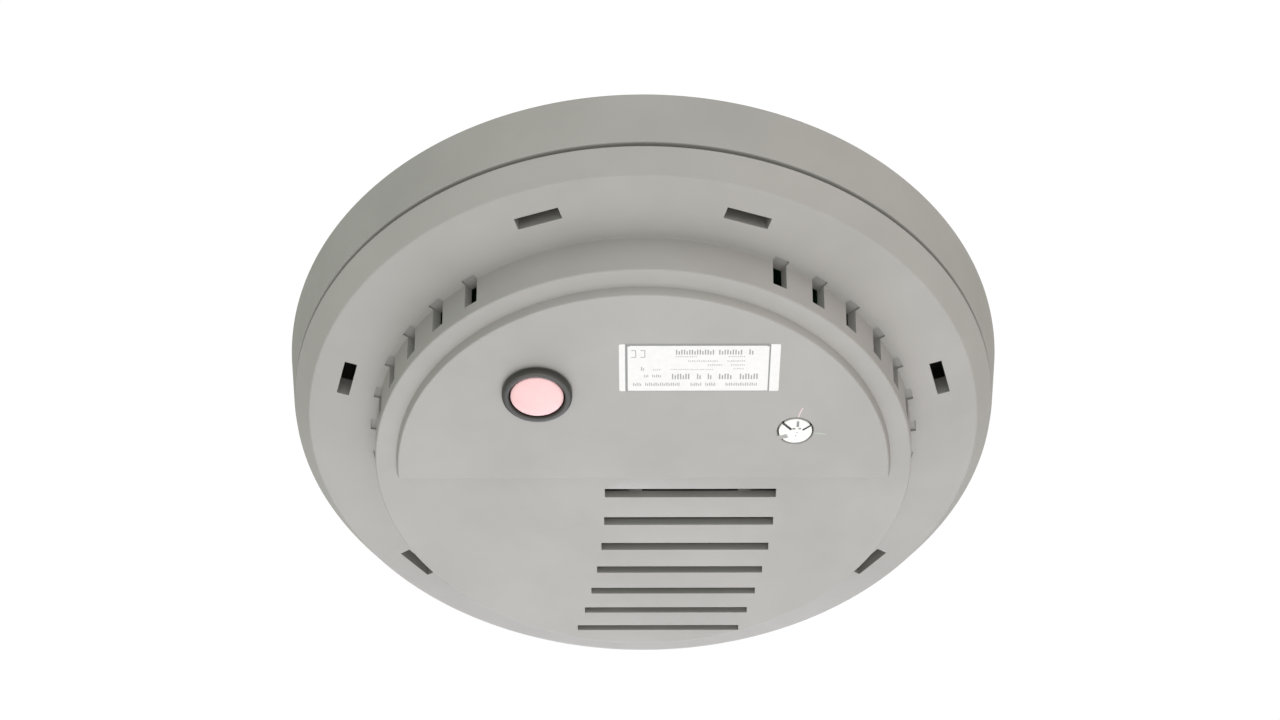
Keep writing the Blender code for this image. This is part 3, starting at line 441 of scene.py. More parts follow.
def base_housing():
    profile = rounded([
        (0.0, FLOOR_TOP_Z, 0.0),
        (69.5 * MM, FLOOR_TOP_Z, 0.5 * MM),
        (69.7 * MM, REAR_EDGE_Z, 0.4 * MM),
        (REAR_RADIUS, REAR_EDGE_Z, 0.6 * MM),
        (SEAM_RADIUS + 0.05 * MM, SEAM_TOP_Z, 0.3 * MM),
        (TONGUE_RADIUS + GAP, SEAM_TOP_Z, 0.2 * MM),
        (TONGUE_RADIUS + GAP, TONGUE_TOP_Z + 2 * GAP, 0.2 * MM),
        (69.0 * MM, FLOOR_Z, 0.6 * MM),
        (0.0, FLOOR_Z, 0.0),
    ])
    base = lathe("base_shell", profile)
    bm = bmesh.new()
    for angle in BAYONET_ANGLES:
        add_sector(bm, *LUG_RADII, angle - LUG_HALF_ANGLE, angle + LUG_HALF_ANGLE, block(*LUG_HEIGHTS))
    carve(base, new_object(bm, "lugs"), "UNION")
    pocket_low, pocket_high = pocket_box()
    middle = (pocket_low + pocket_high) / 2
    half = (pocket_high - pocket_low) / 2
    pocket = shift(middle.x, middle.y)
    low, join = BASE_LOW.z, FLOOR_Z + OVERLAP
    bm = bmesh.new()
    add_slot(bm, pocket, half.x + POCKET_WALL, half.y + POCKET_WALL, 1.5 * MM,
             [(low, -POCKET_WALL_EDGE), (low + POCKET_WALL_EDGE, 0.0), (join, 0.0)], 5)
    for at in BOARD_SCREWS:
        add_plug(bm, at, [(BOARD_POST_RADIUS, BOARD_POST_Z), (BOARD_POST_RADIUS, join)])
    for at in COVER_SCREWS:
        add_plug(bm, at, [(COVER_POST_RADIUS, COVER_POST_Z), (COVER_POST_RADIUS, join)])
    carve(base, new_object(bm, "posts"), "UNION")
    bm = bmesh.new()
    add_slot(bm, pocket, half.x, half.y, 1.0 * MM,
             [(pocket_low.z, -POCKET_EDGE), (pocket_low.z + POCKET_EDGE, 0.0),
              (FLOOR_TOP_Z - POCKET_EDGE, 0.0), (FLOOR_TOP_Z, POCKET_EDGE),
              (FLOOR_TOP_Z + 2 * MM, POCKET_EDGE + 0.05 * MM)], 5)
    for at in BOARD_SCREWS:
        add_plug(bm, at, [(BOARD_PILOT_RADIUS, -8.0 * MM), (BOARD_PILOT_RADIUS, -4.2 * MM)], 24)
    for at in COVER_SCREWS:
        add_plug(bm, at, [(SCREW_HOLE_RADIUS, -8.0 * MM), (SCREW_HOLE_RADIUS, HEAD_SEAT_Z),
                          (HEAD_HOLE_RADIUS, HEAD_SEAT_Z + 0.01 * MM),
                          (HEAD_HOLE_RADIUS, FLOOR_TOP_Z - 0.2 * MM),
                          (HEAD_HOLE_RADIUS + 0.25 * MM, FLOOR_TOP_Z + 0.05 * MM),
                          (HEAD_HOLE_RADIUS + 0.3 * MM, -2.0 * MM)], 36)
    for side in (-1.0, 1.0):  # where the cell's contacts pass through the pocket's ends
        y = middle.y + side * (half.y + POCKET_WALL / 2)
        add_slot(bm, shift(middle.x, y, -9.9 * MM), 2.0 * MM, 1.5 * MM, 0.1 * MM,
                 [(-0.5 * MM, 0.0), (0.5 * MM, 0.0)])
    carve(base, new_object(bm, "openings"))
    return dressed(smooth(base), HOUSING, HEAD, "housing", "base_housing")


def pocket_box():
    """The space inside the lithium cell's pocket."""
    low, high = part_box("lithium_cell")
    middle = (low + high) / 2
    half_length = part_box("battery_contact_plus")[1].y - POCKET_END_SPACE - middle.y
    return (Vector((middle.x - POCKET_HALF_WIDTH, middle.y - half_length, POCKET_FLOOR_Z)),
            Vector((middle.x + POCKET_HALF_WIDTH, middle.y + half_length, FLOOR_TOP_Z)))


# ------------------------------------------------------------------ front cover

GRILLE_SLOTS, GRILLE_FIRST_Y, GRILLE_PITCH = 7, 4.7 * MM, 8.25 * MM
GRILLE_CLOSING, GRILLE_OPEN_SHARE, GRILLE_LENGTH = 0.932, 0.29, 34.0 * MM
GRILLE_CENTRE_X, GRILLE_DRIFT = 9.35 * MM, -6.3 * MM
SLOT_EDGE = 0.08 * MM
WALL_SLOTS, WALL_SLOT_START, WALL_SLOT_PITCH = 32, -61.6, 9.5
WALL_SLOT_WIDTH, WALL_SLOT_TOP_Z, WALL_SLOT_BOTTOM_Z = 2.9 * MM, -18.4 * MM, -24.9 * MM
FLANGE_SLOT_ANGLES = [-16.4, 37.6, 90.0, 142.4, 196.4, 251.5, 288.5]
FLANGE_SLOT_RADIUS, FLANGE_SLOT_HALF, FLANGE_SLOT_DEPTH = 60.1 * MM, (1.2 * MM, 4.25 * MM), 6.0 * MM
WALL_SLOT_RADII = (49.0 * MM, 54.2 * MM)
COLLAR_HALF, COLLAR_DEPTH = (2.4 * MM, 5.45 * MM), 4.4 * MM
BEZEL_HOLE_RADIUS, DIAL_HOLE_RADIUS, HOLE_EDGE = 6.2 * MM, 3.5 * MM, 0.15 * MM
LAND_FILLET = 0.35 * MM


def half_disc(radius, edge, z, count=180):
    """The part of a disc on the -Y side of a straight edge."""
    start = math.asin(edge / radius)
    ring = []
    for i in range(count + 1):
        angle = math.pi - start + (math.pi + 2 * start) * i / count
        ring.append(Vector((radius * math.cos(angle), radius * math.sin(angle), z)))
    return ring


def grille_rows():
    """Each grille slot's near edge, width and middle; they close up and drift to the far side."""
    rows = []
    y, pitch = GRILLE_FIRST_Y, GRILLE_PITCH
    run = GRILLE_PITCH * (1 - GRILLE_CLOSING ** (GRILLE_SLOTS - 1)) / (1 - GRILLE_CLOSING)
    for _ in range(GRILLE_SLOTS):
        along = (y - GRILLE_FIRST_Y) / run
        rows.append((y, pitch * GRILLE_OPEN_SHARE, GRILLE_CENTRE_X + GRILLE_DRIFT * along ** 2))
        y += pitch
        pitch *= GRILLE_CLOSING
    return rows


def front_cover():
    profile = rounded([
        (0.0, FACE_Z + WALL, 0.0),
        (FACE_RADIUS - WALL, FACE_Z + WALL, 0.8 * MM),
        (DRUM_RADIUS - WALL, DRUM_Z + WALL, 0.5 * MM),
        (65.5 * MM, -16.2 * MM, 0.5 * MM),
        (TONGUE_INSIDE_RADIUS, -15.5 * MM, 0.3 * MM),
        (TONGUE_INSIDE_RADIUS, TONGUE_TOP_Z, 0.3 * MM),
        (TONGUE_RADIUS, TONGUE_TOP_Z, 0.3 * MM),
        (TONGUE_RADIUS, SEAM_BOTTOM_Z, 0.1 * MM),
        (SEAM_RADIUS, SEAM_BOTTOM_Z, 0.3 * MM),
        (FLANGE_RADIUS, FLANGE_Z, 0.7 * MM),
        (DRUM_RADIUS, DRUM_Z, 0.15 * MM),
        (FACE_RADIUS, FACE_Z, 0.4 * MM),
        (0.0, FACE_Z, 0.0),
    ])
    cover = lathe("cover_shell", profile)
    carve(cover, raised_land(), "UNION")
    bm = bmesh.new()
    for place in flange_slot_places():
        add_slot(bm, place, *COLLAR_HALF, 0.5 * MM,
                 [(-COLLAR_DEPTH, -0.2 * MM), (-4.2 * MM, 0.0), (-0.6 * MM, 0.0)])
    for at in COVER_SCREWS:
        add_plug(bm, at, [(3.0 * MM, -17.0 * MM), (3.0 * MM, -7.6 * MM), (2.7 * MM, -7.3 * MM)])
    carve(cover, new_object(bm, "bosses"), "UNION")
    inner = (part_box("sounder_horn")[1].x - SOUNDER.x) + 0.6 * MM
    outer = inner + 1.2 * MM
    top, bottom = -21.0 * MM, FACE_Z + WALL - OVERLAP
    ring = [(inner, top), (outer, top), (outer, bottom), (inner, bottom)]
    carve(cover, lathe("ring", ring, 96, SOUNDER), "UNION")
    bm = bmesh.new()
    loft(bm, [half_disc(46.2 * MM, LAND_EDGE_Y - WALL, z) for z in (LAND_Z + WALL, -24.5 * MM)])
    carve(cover, new_object(bm, "hollow"))
    carve(cover, holes())
    carve(cover, slots())
    return dressed(smooth(cover), HOUSING, HEAD, "housing", "front_cover")


def raised_land():
    """The half of the face that stands proud, round the button, the label and the dial."""
    rim = LAND_RADIUS + 0.1 * MM
    levels = [(LAND_FOOT_RADIUS, FACE_Z + 0.6 * MM), (LAND_FOOT_RADIUS, FACE_Z), (rim, LAND_Z + LAND_FILLET)]
    for angle in (30.0, 60.0, 90.0):
        levels.append((rim - LAND_FILLET * (1 - math.cos(math.radians(angle))),
                       LAND_Z + LAND_FILLET - LAND_FILLET * math.sin(math.radians(angle))))
    bm = bmesh.new()
    loft(bm, [half_disc(radius, LAND_EDGE_Y + radius - LAND_RADIUS, z) for radius, z in levels])
    return new_object(bm, "land")


def holes():
    """The cutters for the bezel, the dial and the screws' pilot holes."""
    bm = bmesh.new()
    for at, radius in ((BUTTON, BEZEL_HOLE_RADIUS), (DIAL, DIAL_HOLE_RADIUS)):
        add_plug(bm, at, [(radius, -24.0 * MM), (radius, LAND_Z + HOLE_EDGE), (radius + HOLE_EDGE, LAND_Z),
                          (radius + HOLE_EDGE, LAND_Z - 1.0 * MM)], 72)
    for at in COVER_SCREWS:
        add_plug(bm, at, [(SCREW_HOLE_RADIUS, -16.6 * MM), (SCREW_HOLE_RADIUS, COVER_POST_Z)], 24)
    return new_object(bm, "holes")


def flange_slot_places():
    """Where each flange slot opens, its local Z along the slot's depth, out of the flange."""
    slope = (FLANGE_Z - DRUM_Z) / (FLANGE_RADIUS - DRUM_RADIUS)
    z = DRUM_Z + (FLANGE_SLOT_RADIUS - DRUM_RADIUS) * slope
    tilt = turn(math.degrees(math.atan(slope)), "Y")
    return [Matrix.Translation(polar(FLANGE_SLOT_RADIUS, angle, z)) @ turn(angle) @ turn(180.0, "X") @ tilt
            for angle in FLANGE_SLOT_ANGLES]


def slots():
    """The cutters for the grille, the drum's wall and the flange."""
    bm = bmesh.new()
    down = turn(180.0, "X")
    for y, width, x in grille_rows():
        place = shift(x, y + width / 2, FACE_Z) @ down
        add_slot(bm, place, GRILLE_LENGTH / 2, width / 2, 0.1 * MM, mouth(2.4 * MM, 1.0 * MM, SLOT_EDGE))
    inner, outer = WALL_SLOT_RADII
    height = WALL_SLOT_TOP_Z - WALL_SLOT_BOTTOM_Z
    for i in range(WALL_SLOTS):
        angle = WALL_SLOT_START + WALL_SLOT_PITCH * i
        place = (Matrix.Translation(polar(inner, angle, WALL_SLOT_BOTTOM_Z + height / 2)) @ turn(angle)
                 @ turn(90.0, "Y"))
        add_slot(bm, place, height / 2, WALL_SLOT_WIDTH / 2, 0.1 * MM, [(0.0, 0.0), (outer - inner, 0.0)])
    through = mouth(FLANGE_SLOT_DEPTH, 1.0 * MM, SLOT_EDGE)
    for place in flange_slot_places():
        add_slot(bm, place, *FLANGE_SLOT_HALF, SLOT_EDGE, through)
    return new_object(bm, "slots")


# ------------------------------------------------------------------ button, dial, label

LENS_RADIUS, BEZEL_TUBE_RADIUS, SHELF_Z = 5.0 * MM, 5.9 * MM, -21.0 * MM
STEM_OFFSET, STEM_RADIUS, STEM_HOLE_RADIUS = 2.1 * MM, 1.3 * MM, 1.6 * MM
DIAL_RADIUS, DIAL_FLANGE_RADIUS = 3.2 * MM, 4.4 * MM
DIAL_SHAFT_RADIUS, DIAL_SHAFT_TOP_Z = 1.6 * MM, -11.0 * MM

# Each as start x and y, end x and y, and half width, in shares of the dial's radius.
DIAL_GROOVES = [(-0.78, -0.69, -0.24, -0.12, 0.08), (0.12, -0.84, 0.12, -0.36, 0.075),
                (0.92, -0.50, 0.42, -0.08, 0.06), (-0.46, 0.38, -1.12, 0.60, 0.16)]
DIAL_TICKS = [(-0.19, -0.21, -0.01, -0.21, 0.042), (0.17, -0.21, 0.33, -0.21, 0.042),
              (0.075, 0.12, 0.125, 0.12, 0.04), (0.015, 0.38, 0.065, 0.38, 0.04)]

# The label's print in mm from its corner nearest -X and -Y: each as low x, low y, high x, high y.
LABEL_RULES = [(1.15, 0.0, 1.6, 12.0), (27.9, 0.0, 28.2, 12.0), (1.6, 0.0, 27.9, 0.4),
               (1.6, 0.4, 2.0, 0.55), (27.5, 0.4, 27.9, 0.55), (1.6, 11.9, 27.9, 12.0)]
LABEL_LINES = [(10.6, 1.4, 17.9, 2.6), (18.6, 1.4, 23.1, 2.6), (24.2, 1.3, 25.2, 2.6),
               (9.9, 7.5, 13.4, 8.9), (14.6, 7.5, 15.5, 8.9), (16.6, 7.5, 17.5, 8.9),
               (18.7, 7.5, 21.3, 8.9), (22.6, 7.5, 26.2, 8.9)]
LABEL_FINE_LINES = [(10.6, 3.0, 14.6, 3.25), (20.4, 3.0, 23.6, 3.25), (12.9, 4.1, 18.6, 4.4),
                    (20.2, 4.1, 23.6, 4.4), (16.6, 5.1, 19.4, 5.4), (20.9, 5.1, 23.6, 5.4),
                    (21.4, 6.1, 23.4, 6.35), (9.6, 6.3, 17.7, 6.5), (6.4, 6.3, 7.9, 6.6),
                    (4.1, 5.7, 4.8, 6.7), (4.7, 7.7, 5.6, 8.4), (6.2, 7.7, 8.0, 8.4),
                    (2.6, 9.8, 4.3, 10.6), (4.9, 9.8, 11.5, 10.6), (13.4, 9.8, 15.6, 10.6),
                    (16.2, 9.8, 18.2, 10.6), (20.0, 9.8, 26.0, 10.6)]
LABEL_BRACKETS_X = (2.3, 4.0)

# The painted strokes beside the dial: points (x, y) in mm on the face, and the ink.
FACE_MARKS = {"red_mark": ([(29.62, -17.0), (29.95, -18.4), (30.35, -19.4)], MARK_RED),
              "green_mark": ([(32.9, -12.75), (34.1, -12.6), (35.1, -12.4)], MARK_GREEN)}
MARK_HALF_WIDTH = 0.13 * MM


def button_bezel():
    outer, low = BEZEL_HIGH.x - BUTTON.x, BEZEL_LOW.z
    inside = LENS_RADIUS + GAP
    profile = rounded([
        (0.0, SHELF_Z + 1.0 * MM, 0.0),
        (BEZEL_TUBE_RADIUS, SHELF_Z + 1.0 * MM, 0.2 * MM),
        (BEZEL_TUBE_RADIUS, LAND_Z - GAP, 0.05 * MM),
        (outer, LAND_Z - GAP, 0.12 * MM),
        (outer, low + 0.1 * MM, 0.75 * MM),
        (inside, low, 0.4 * MM),
        (inside, SHELF_Z, 0.2 * MM),
        (0.0, SHELF_Z, 0.0),
    ], 6)
    bezel = lathe("bezel_ring", profile, 120, BUTTON)
    bm = bmesh.new()
    for offset in (STEM_OFFSET, -STEM_OFFSET):
        add_plug(bm, BUTTON + Vector((offset, 0, 0)),
                 [(STEM_HOLE_RADIUS, SHELF_Z - 1.0 * MM), (STEM_HOLE_RADIUS, SHELF_Z + 2.0 * MM)], 32)
    carve(bezel, new_object(bm, "shelf_holes"))
    return dressed(smooth(bezel), BLACK, HEAD, "black_trim", "button_bezel")


def test_button():
    """A shallow dome with its edge rounded, on a stem that reaches the switch."""
    low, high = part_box("test_button")
    radius, low, top = LENS_RADIUS, low.z, high.z
    back = LAND_Z + 0.8 * MM
    rise = 0.45 * MM
    dome = [(radius * math.cos(math.radians(a)), low + rise - rise * math.sin(math.radians(a)))
            for a in range(10, 90, 8)]
    profile = [(0.0, back), (radius - 0.2 * MM, back), (radius, back - 0.2 * MM),
               (radius, low + rise), *dome, (0.0, low)]
    cap = lathe("button_cap", profile, 96, BUTTON)
    bm = bmesh.new()
    add_plug(bm, BUTTON + Vector((STEM_OFFSET, 0, 0)),
             [(STEM_RADIUS, back - OVERLAP), (STEM_RADIUS, top - 0.2 * MM), (1.1 * MM, top)], 32)
    carve(cap, new_object(bm, "stem"), "UNION")
    return dressed(smooth(cap, 40.0), LENS, "test_button", "pink_lens", "test_button")


def selector_dial():
    low = DIAL_LOW_Z
    flange = LAND_Z + WALL + GAP
    profile = rounded([
        (0.0, DIAL_SHAFT_TOP_Z, 0.0),
        (DIAL_SHAFT_RADIUS, DIAL_SHAFT_TOP_Z, 0.2 * MM),
        (DIAL_SHAFT_RADIUS, flange + 0.8 * MM, 0.2 * MM),
        (DIAL_FLANGE_RADIUS, flange + 0.8 * MM, 0.1 * MM),
        (DIAL_FLANGE_RADIUS, flange, 0.1 * MM),
        (DIAL_RADIUS, flange, 0.05 * MM),
        (DIAL_RADIUS, low, 0.18 * MM),
        (0.0, low, 0.0),
    ])
    dial = lathe("dial_knob", profile, 96, DIAL)
    bm = bmesh.new()
    for ends in DIAL_GROOVES:
        dial_bar(bm, ends, low, mouth(0.5 * MM, 0.4 * MM, 0.04 * MM))
    carve(dial, new_object(bm, "dial_grooves"))
    dressed(smooth(dial), WHITE, "selector_dial", "white_plastic", "selector_dial")
    # Painted shade: the plates that fill the grooves stand in for the shade inside them, black in the first
    # and third, the label's grey in the second and the housing plastic's grey in the fourth.
    for i, (ends, ink) in enumerate(zip(DIAL_GROOVES, (INK, LABEL_GREY, INK, HOUSING))):
        bm = bmesh.new()
        dial_bar(bm, ends, low, [(-0.48 * MM, 0.0), (-0.06 * MM, 0.0)])
        dressed(new_object(bm, f"groove_painted_shade_{i + 1}"), ink, "selector_dial", "white_plastic")
    bm = bmesh.new()
    for ends in DIAL_TICKS:
        dial_bar(bm, ends, low, [(-0.05 * MM, 0.0), (0.012 * MM, 0.0)])
    dressed(new_object(bm, "dial_ticks"), INK, "selector_dial", "white_plastic")


def dial_bar(bm, ends, z, levels):
    """A straight bar on the dial's face, from the dial's tables."""
    x0, y0, x1, y1, half = ends
    start, end = Vector((x0, y0, 0.0)) * DIAL_RADIUS, Vector((x1, y1, 0.0)) * DIAL_RADIUS
    along = end - start
    place = (Matrix.Translation(DIAL + (start + end) / 2 + Vector((0.0, 0.0, z)))
             @ turn(math.degrees(math.atan2(along.y, along.x))) @ turn(180.0, "X"))
    add_slot(bm, place, along.length / 2, half * DIAL_RADIUS, half * DIAL_RADIUS * 0.4, levels)


def plate_print(name, bars, material):
    """Flat blocks of print on the label, from (low x, low y, high x, high y) in mm."""
    top, bottom = LABEL_LOW.z + 0.01 * MM, LABEL_LOW.z - 0.012 * MM
    bm = bmesh.new()
    for bar in bars:
        x0, x1 = LABEL_LOW.x + bar[0] * MM, LABEL_LOW.x + bar[2] * MM
        y0, y1 = LABEL_LOW.y + bar[1] * MM, LABEL_LOW.y + bar[3] * MM
        place = shift((x0 + x1) / 2, (y0 + y1) / 2)
        outline = rounded_rectangle((x1 - x0) / 2, (y1 - y0) / 2, min(0.04 * MM, (y1 - y0) / 4))
        loft(bm, [[place @ Vector((x, y, z)) for x, y in outline] for z in (bottom, top)])
    return dressed(new_object(bm, name), material, HEAD, "label")


def rating_label():
    face = LABEL_LOW.z
    half = (LABEL_HIGH - LABEL_LOW) / 2
    bm = bmesh.new()
    add_slot(bm, Matrix.Translation(LABEL), half.x, half.y, 0.3 * MM,
             [(LAND_Z - 0.01 * MM, 0.0), (face + 0.02 * MM, 0.0), (face, -0.02 * MM)], 4)
    dressed(smooth(new_object(bm, "label_sheet")), LABEL_WHITE, HEAD, "label", "rating_label")
    plate_print("label_rules", LABEL_RULES, LABEL_GREY)
    strong = [spot for line in LABEL_LINES for spot in greek(*line, 0.5)]
    for x in LABEL_BRACKETS_X:
        strong += [(x, 1.5, x + 0.9, 1.65), (x, 3.2, x + 0.9, 3.35), (x + 0.75, 1.65, x + 0.9, 3.2)]
    plate_print("label_blocks", strong, LABEL_TEXT)
    faint = [spot for line in LABEL_FINE_LINES for spot in greek(*line, 0.34)]
    plate_print("label_fine_blocks", faint, LABEL_FAINT)


def greek(left, upper, right, lower, step):
    """A row of plain blocks that stands in for a line of print."""
    blocks = []
    count = max(1, round((right - left) / step))
    pitch = (right - left) / count
    for i in range(count):
        start = left + i * pitch
        inset = (lower - upper) * (0.28 if i % 3 == 1 else 0.0)
        blocks.append((start, upper + inset, start + pitch * 0.5, lower))
    return blocks


def face_marks():
    """The two painted strokes that the selector turns between."""
    for name, (points, material) in FACE_MARKS.items():
        outline = []
        for ordered in (points, points[::-1]):
            for i, (x, y) in enumerate(ordered):
                ahead = ordered[min(i + 1, len(ordered) - 1)]
                behind = ordered[max(i - 1, 0)]
                along = Vector((ahead[0] - behind[0], ahead[1] - behind[1])).normalized()
                outline.append((x * MM - along.y * MARK_HALF_WIDTH, y * MM + along.x * MARK_HALF_WIDTH))
        bm = bmesh.new()
        loft(bm, [[Vector((x, y, z)) for x, y in outline] for z in (LAND_Z + 0.05 * MM, LAND_Z - 0.02 * MM)])
        dressed(new_object(bm, name), material, HEAD, "housing")


# ------------------------------------------------------------------ plate, spring and screws

PLATE_RADIUS, TAB_RADIUS, TAB_HALF_ANGLE, TAB_TOP_Z = 58.0 * MM, 66.0 * MM, 8.0, -1.9 * MM
STOP_ANGLES, FAR_STOP_ANGLES = (6.5, 9.0), (-23.5, -21.5)  # both from the middle of a tab
RELIEF_RADII, RELIEF_HALF_ANGLE = (14.0 * MM, 52.0 * MM), 23.0
FIXING_RADIUS, FIXING_SLOT, FIXING_HALF_ANGLE = 30.0 * MM, 4.6 * MM, 15.0
KEYHOLE_RADIUS, KEYHOLE_REACH = 4.4 * MM, 9.0 * MM
SPRING_WIRE, SPRING_TURNS, SPRING_FLAT_TURNS = 0.5 * MM, 5, 0.6

# Each as the screw's shank radius, head radius, the head's seat and how far its top is from it.
COVER_SCREW = (1.2 * MM, 2.6 * MM, -5.0 * MM, 1.3 * MM)
BOARD_SCREW = (1.1 * MM, 2.4 * MM, -9.3 * MM, -1.5 * MM)


def mounting_plate():
    plate = lathe("plate_disc", rounded([
        (0.0, PLATE_Z, 0.0),
        (PLATE_RADIUS, PLATE_Z, 0.4 * MM),
        (PLATE_RADIUS, 0.0, 0.4 * MM),
        (0.0, 0.0, 0.0),
    ]))
    inside = PLATE_RADIUS - 1.0 * MM
    bm = bmesh.new()
    for angle in BAYONET_ANGLES:
        add_sector(bm, inside, TAB_RADIUS, angle - TAB_HALF_ANGLE, angle + TAB_HALF_ANGLE,
                   block(PLATE_Z, TAB_TOP_Z))
    carve(plate, new_object(bm, "tabs"), "UNION")
    bm = bmesh.new()
    stops = block(PLATE_Z + 0.2 * MM, -0.5 * MM, 0.15 * MM)
    for angle in BAYONET_ANGLES:
        for short, (start, end) in ((0.5 * MM, STOP_ANGLES), (1.0 * MM, FAR_STOP_ANGLES)):
            add_sector(bm, inside, TAB_RADIUS - short, angle + start, angle + end, stops, 2)
    carve(plate, new_object(bm, "stops"), "UNION")
    bm = bmesh.new()
    relief = [(-1.2 * MM, -0.5 * MM), (-1.05 * MM, -0.15 * MM), (-0.7 * MM, 0.0), (-0.3 * MM, 0.0),
              (0.0, 0.3 * MM), (0.5 * MM, 0.3 * MM)]
    for angle in BAYONET_ANGLES:
        add_sector(bm, *RELIEF_RADII, angle - RELIEF_HALF_ANGLE, angle + RELIEF_HALF_ANGLE, relief, 24)
    carve(plate, new_object(bm, "pockets"))
    bm = bmesh.new()
    half = FIXING_SLOT / 2
    edge = 0.3 * MM
    through = [(PLATE_Z - 0.5 * MM, edge), (PLATE_Z, edge), (PLATE_Z + edge, 0.0), (-edge, 0.0),
               (0.0, edge), (0.5 * MM, edge)]
    for side in (-1.0, 1.0):
        loft(bm, [keyhole(side, grow, height) for height, grow in through])
    for angle in (90.0, 270.0):
        add_sector(bm, FIXING_RADIUS - half, FIXING_RADIUS + half,
                   angle - FIXING_HALF_ANGLE, angle + FIXING_HALF_ANGLE, through, 16)
    carve(plate, new_object(bm, "fixings"))
    return dressed(smooth(plate), INNER, PLATE, "inner_plastic", "mounting_plate")


def keyhole(side, grow, z):
    """The outline of a keyhole: a round head hole that runs into a slot on its +X side."""
    head, tail = KEYHOLE_RADIUS + grow, FIXING_SLOT / 2 + grow
    half = math.degrees(math.asin(tail / head))
    centre = side * FIXING_RADIUS
    tip = centre + KEYHOLE_REACH - FIXING_SLOT / 2
    outline = [(x + centre, y) for x, y in arc(head, half, 360.0 - half, 32)]
    outline += [(x + tip, y) for x, y in arc(tail, -90.0, 90.0, 12)]
    return [Vector((x, y, z)) for x, y in outline]


def button_spring():
    """A helical spring with a flat turn at each end."""
    low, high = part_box("button_spring")
    thick = SPRING_WIRE / 2
    radius = (high.x - low.x - SPRING_WIRE) / 2
    start, end = high.z - thick, low.z + thick
    steps, sides = 40, 10
    around = [2 * math.pi * k / sides for k in range(sides)]
    bm = bmesh.new()
    rings = []
    for i in range(SPRING_TURNS * steps + 1):
        by = i / steps
        rise = min(max((by - SPRING_FLAT_TURNS) / (SPRING_TURNS - 2 * SPRING_FLAT_TURNS), 0.0), 1.0)
        out = polar(1.0, 360.0 * by)
        centre = BUTTON + out * radius + Vector((0.0, 0.0, start + (end - start) * rise))
        rings.append([centre + out * (thick * math.cos(a)) + Vector((0.0, 0.0, thick * math.sin(a)))
                      for a in around])
    loft(bm, rings)
    spring = dressed(smooth(new_object(bm, "return_spring"), 50.0), STEEL, HEAD, "steel", "button_spring")
    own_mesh(spring)


def screws():
    """Pan heads with a cross recess; the cover's screws point down and the board's point up."""
    for i in range(1, 5):
        screw(f"cover_screw_{i}", COVER_SCREWS[i - 1], *COVER_SCREW)
        screw(f"board_screw_{i}", BOARD_SCREWS[i - 1], *BOARD_SCREW)


def screw(node, at, shank, head, seat, rise):
    low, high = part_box(node)
    tip = low.z if rise > 0.0 else high.z
    away = math.copysign(1.0, rise)
    top, core = seat + rise, shank * 0.76
    profile = [(0.0, tip), (shank * 0.45, tip + 0.1 * MM * away), (shank * 0.72, tip + 0.6 * MM * away)]
    z = tip + 0.9 * MM * away
    while abs(seat - z) > 0.8 * MM:  # the thread, as rings
        profile += [(shank, z), (core, z + 0.25 * MM * away)]
        z += 0.5 * MM * away
    profile += [(core, seat - 0.2 * MM * away), (head - 0.1 * MM, seat),
                (head, seat + 0.1 * MM * away), (head, seat + 0.35 * abs(rise) * away)]
    for a in (25.0, 50.0, 75.0):
        profile.append((head * (0.45 + 0.55 * math.cos(math.radians(a))),
                        seat + rise * (0.35 + 0.62 * math.sin(math.radians(a)))))
    profile += [(head * 0.3, top), (0.0, top)]
    made = lathe(f"{node}_shape", profile, 48, at)
    recess = [(-abs(rise) * 0.6, -0.05 * MM), (0.3 * MM, 0.02 * MM)]
    for angle in (0.0, 90.0):
        place = shift(at.x, at.y, top) @ turn(angle)
        if away < 0.0:
            place = place @ turn(180.0, "X")
        bm = bmesh.new()
        add_slot(bm, place, head * 0.58, 0.27 * MM, 0.05 * MM, recess)
        carve(made, new_object(bm, "recess"))
    return dressed(smooth(made), STEEL, HEAD, "steel", node)


# ------------------------------------------------------------------ the hidden pieces, as the CAD has them

CAD_FINISH = {
    "bezel_nut": BLACK, "switch_body": EPOXY, "switch_plunger": WHITE, "status_led": WHITE,
    "light_pipe": CLEAR, "selector_body": EPOXY, "sounder_horn": BLACK, "sounder_retainer": BLACK,
    "piezo_disc": BRASS, "piezo_ceramic": CERAMIC, "sounder_contact_1": BRASS,
    "sounder_contact_2": BRASS, "sounder_contact_3": BRASS, "chamber_base": DARK,
    "chamber_cover": DARK, "insect_screen": STEEL, "ir_emitter": CLEAR, "photodiode": EPOXY,
    "detector_shield": STEEL, "circuit_board": BOARD, "controller_chip": EPOXY,
    "capacitor_1": SLEEVE, "capacitor_2": SLEEVE, "sounder_coil": FERRITE, "lithium_cell": WRAP,
    "battery_contact_plus": STEEL, "battery_contact_minus": STEEL,
}
for name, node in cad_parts.items():
    if name in CAD_FINISH:
        node.data.materials.clear()
        node.data.materials.append(CAD_FINISH[name])

mounting_plate()
base_housing()
front_cover()
button_bezel()
test_button()
selector_dial()
rating_label()
face_marks()
button_spring()
screws()


# ------------------------------------------------------------------ floor, light, camera

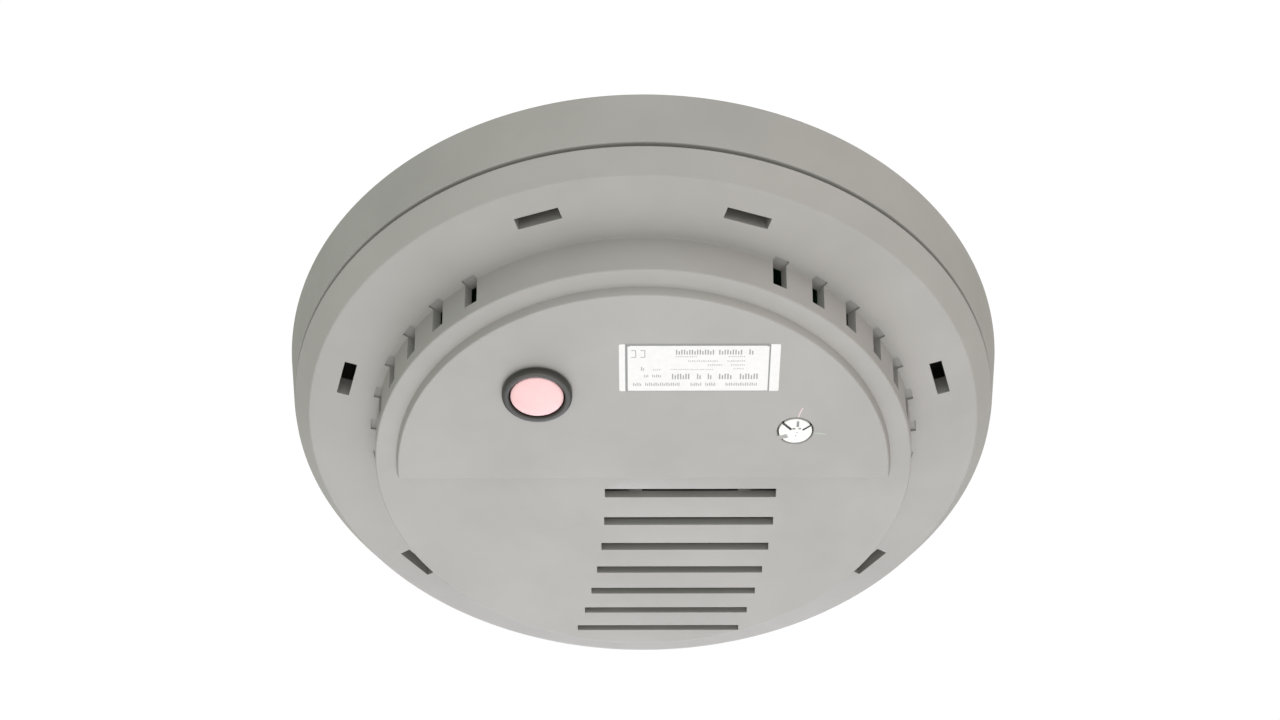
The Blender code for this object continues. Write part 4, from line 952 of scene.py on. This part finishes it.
FLOOR_SHEET_Z, BACKDROP_Z, SHEET_HALF_WIDTH = -1.2, 1.5, 60.0
WORLD_COLOUR = (0.553, 0.572, 0.515)
LAMP_WIDTH, LAMP_DISTANCE = 1.0, 1.5
LAMPS = [  # each a name, the direction it shines from, watts and colour
    ("front_high", (0.0, -0.97, 0.2), 4.1, (0.95, 1.02, 1.0)),
    ("front_low", (0.1, -0.92, -0.4), 1.9, (0.97, 1.0, 1.0)),
    ("front_right", (0.75, -0.65, 0.05), 3.5, (1.2, 0.86, 0.95)),
    ("below", (0.0, 0.0, -1.0), 7.2, (1.02, 0.98, 1.0)),
    ("below_far", (0.1, 0.5, -0.86), 4.8, (1.03, 0.97, 1.0)),
    ("far", (0.0, 0.95, -0.3), 7.2, (0.93, 0.95, 1.12)),
]
SENSOR_WIDTH, FOCAL_LENGTH = 36.0, 60.1
CAMERA_PLACE = (0.0, -0.30325, -0.31971)
CAMERA_RIGHT, CAMERA_UP = (0.999997, 0.0023358, -0.00018287), (0.00183208, -0.73091229, 0.68246895)


def sheet(name, height, colour, glow):
    """A wide plain sheet, seen by the camera and left out of the light's bounces."""
    bm = bmesh.new()
    bmesh.ops.create_grid(bm, x_segments=1, y_segments=1, size=SHEET_HALF_WIDTH)
    made = new_object(bm, name)
    made.location = (0.0, 0.0, height)
    material, _, shader = nodes_of(name)
    shader.inputs["Base Color"].default_value = (*colour, 1.0)
    shader.inputs["Roughness"].default_value = 0.9
    shader.inputs["Emission Color"].default_value = (1.0, 1.0, 1.0, 1.0)
    shader.inputs["Emission Strength"].default_value = glow
    made.data.materials.append(material)
    made.visible_diffuse = made.visible_glossy = made.visible_shadow = False


def light(name, place, power, tint):
    """A round area lamp that faces the object."""
    lamp = bpy.data.lights.new(name, "AREA")
    lamp.shape = "DISK"
    lamp.size = LAMP_WIDTH
    lamp.energy = power
    lamp.color = tint
    obj = bpy.data.objects.new(name, lamp)
    bpy.context.scene.collection.objects.link(obj)
    obj.location = place
    obj.rotation_mode = "QUATERNION"
    obj.rotation_quaternion = (-place).to_track_quat("-Z", "Y")


def studio():
    """A pale floor, a white backdrop overhead, even light all round and wide lamps about the front."""
    sheet("studio_floor", FLOOR_SHEET_Z, (0.8, 0.8, 0.8), 0.25)
    sheet("backdrop", BACKDROP_Z, (0.0, 0.0, 0.0), 1.0)
    world = bpy.data.worlds.new("studio")
    bpy.context.scene.world = world
    world.use_nodes = True
    back = world.node_tree.nodes["Background"]
    back.inputs["Color"].default_value = (*WORLD_COLOUR, 1.0)
    back.inputs["Strength"].default_value = 1.0
    for name, aim, power, tint in LAMPS:
        light(name, Vector(aim).normalized() * LAMP_DISTANCE, power, tint)


def camera():
    data = bpy.data.cameras.new("camera")
    data.sensor_width = SENSOR_WIDTH
    data.lens = FOCAL_LENGTH
    obj = bpy.data.objects.new("camera", data)
    bpy.context.scene.collection.objects.link(obj)
    right, up = Vector(CAMERA_RIGHT), Vector(CAMERA_UP)
    turned = Matrix((right, up, right.cross(up))).transposed()
    obj.matrix_world = Matrix.Translation(CAMERA_PLACE) @ turned.to_4x4()
    bpy.context.scene.camera = obj


studio()
camera()
bpy.context.scene.view_settings.view_transform = "Standard"
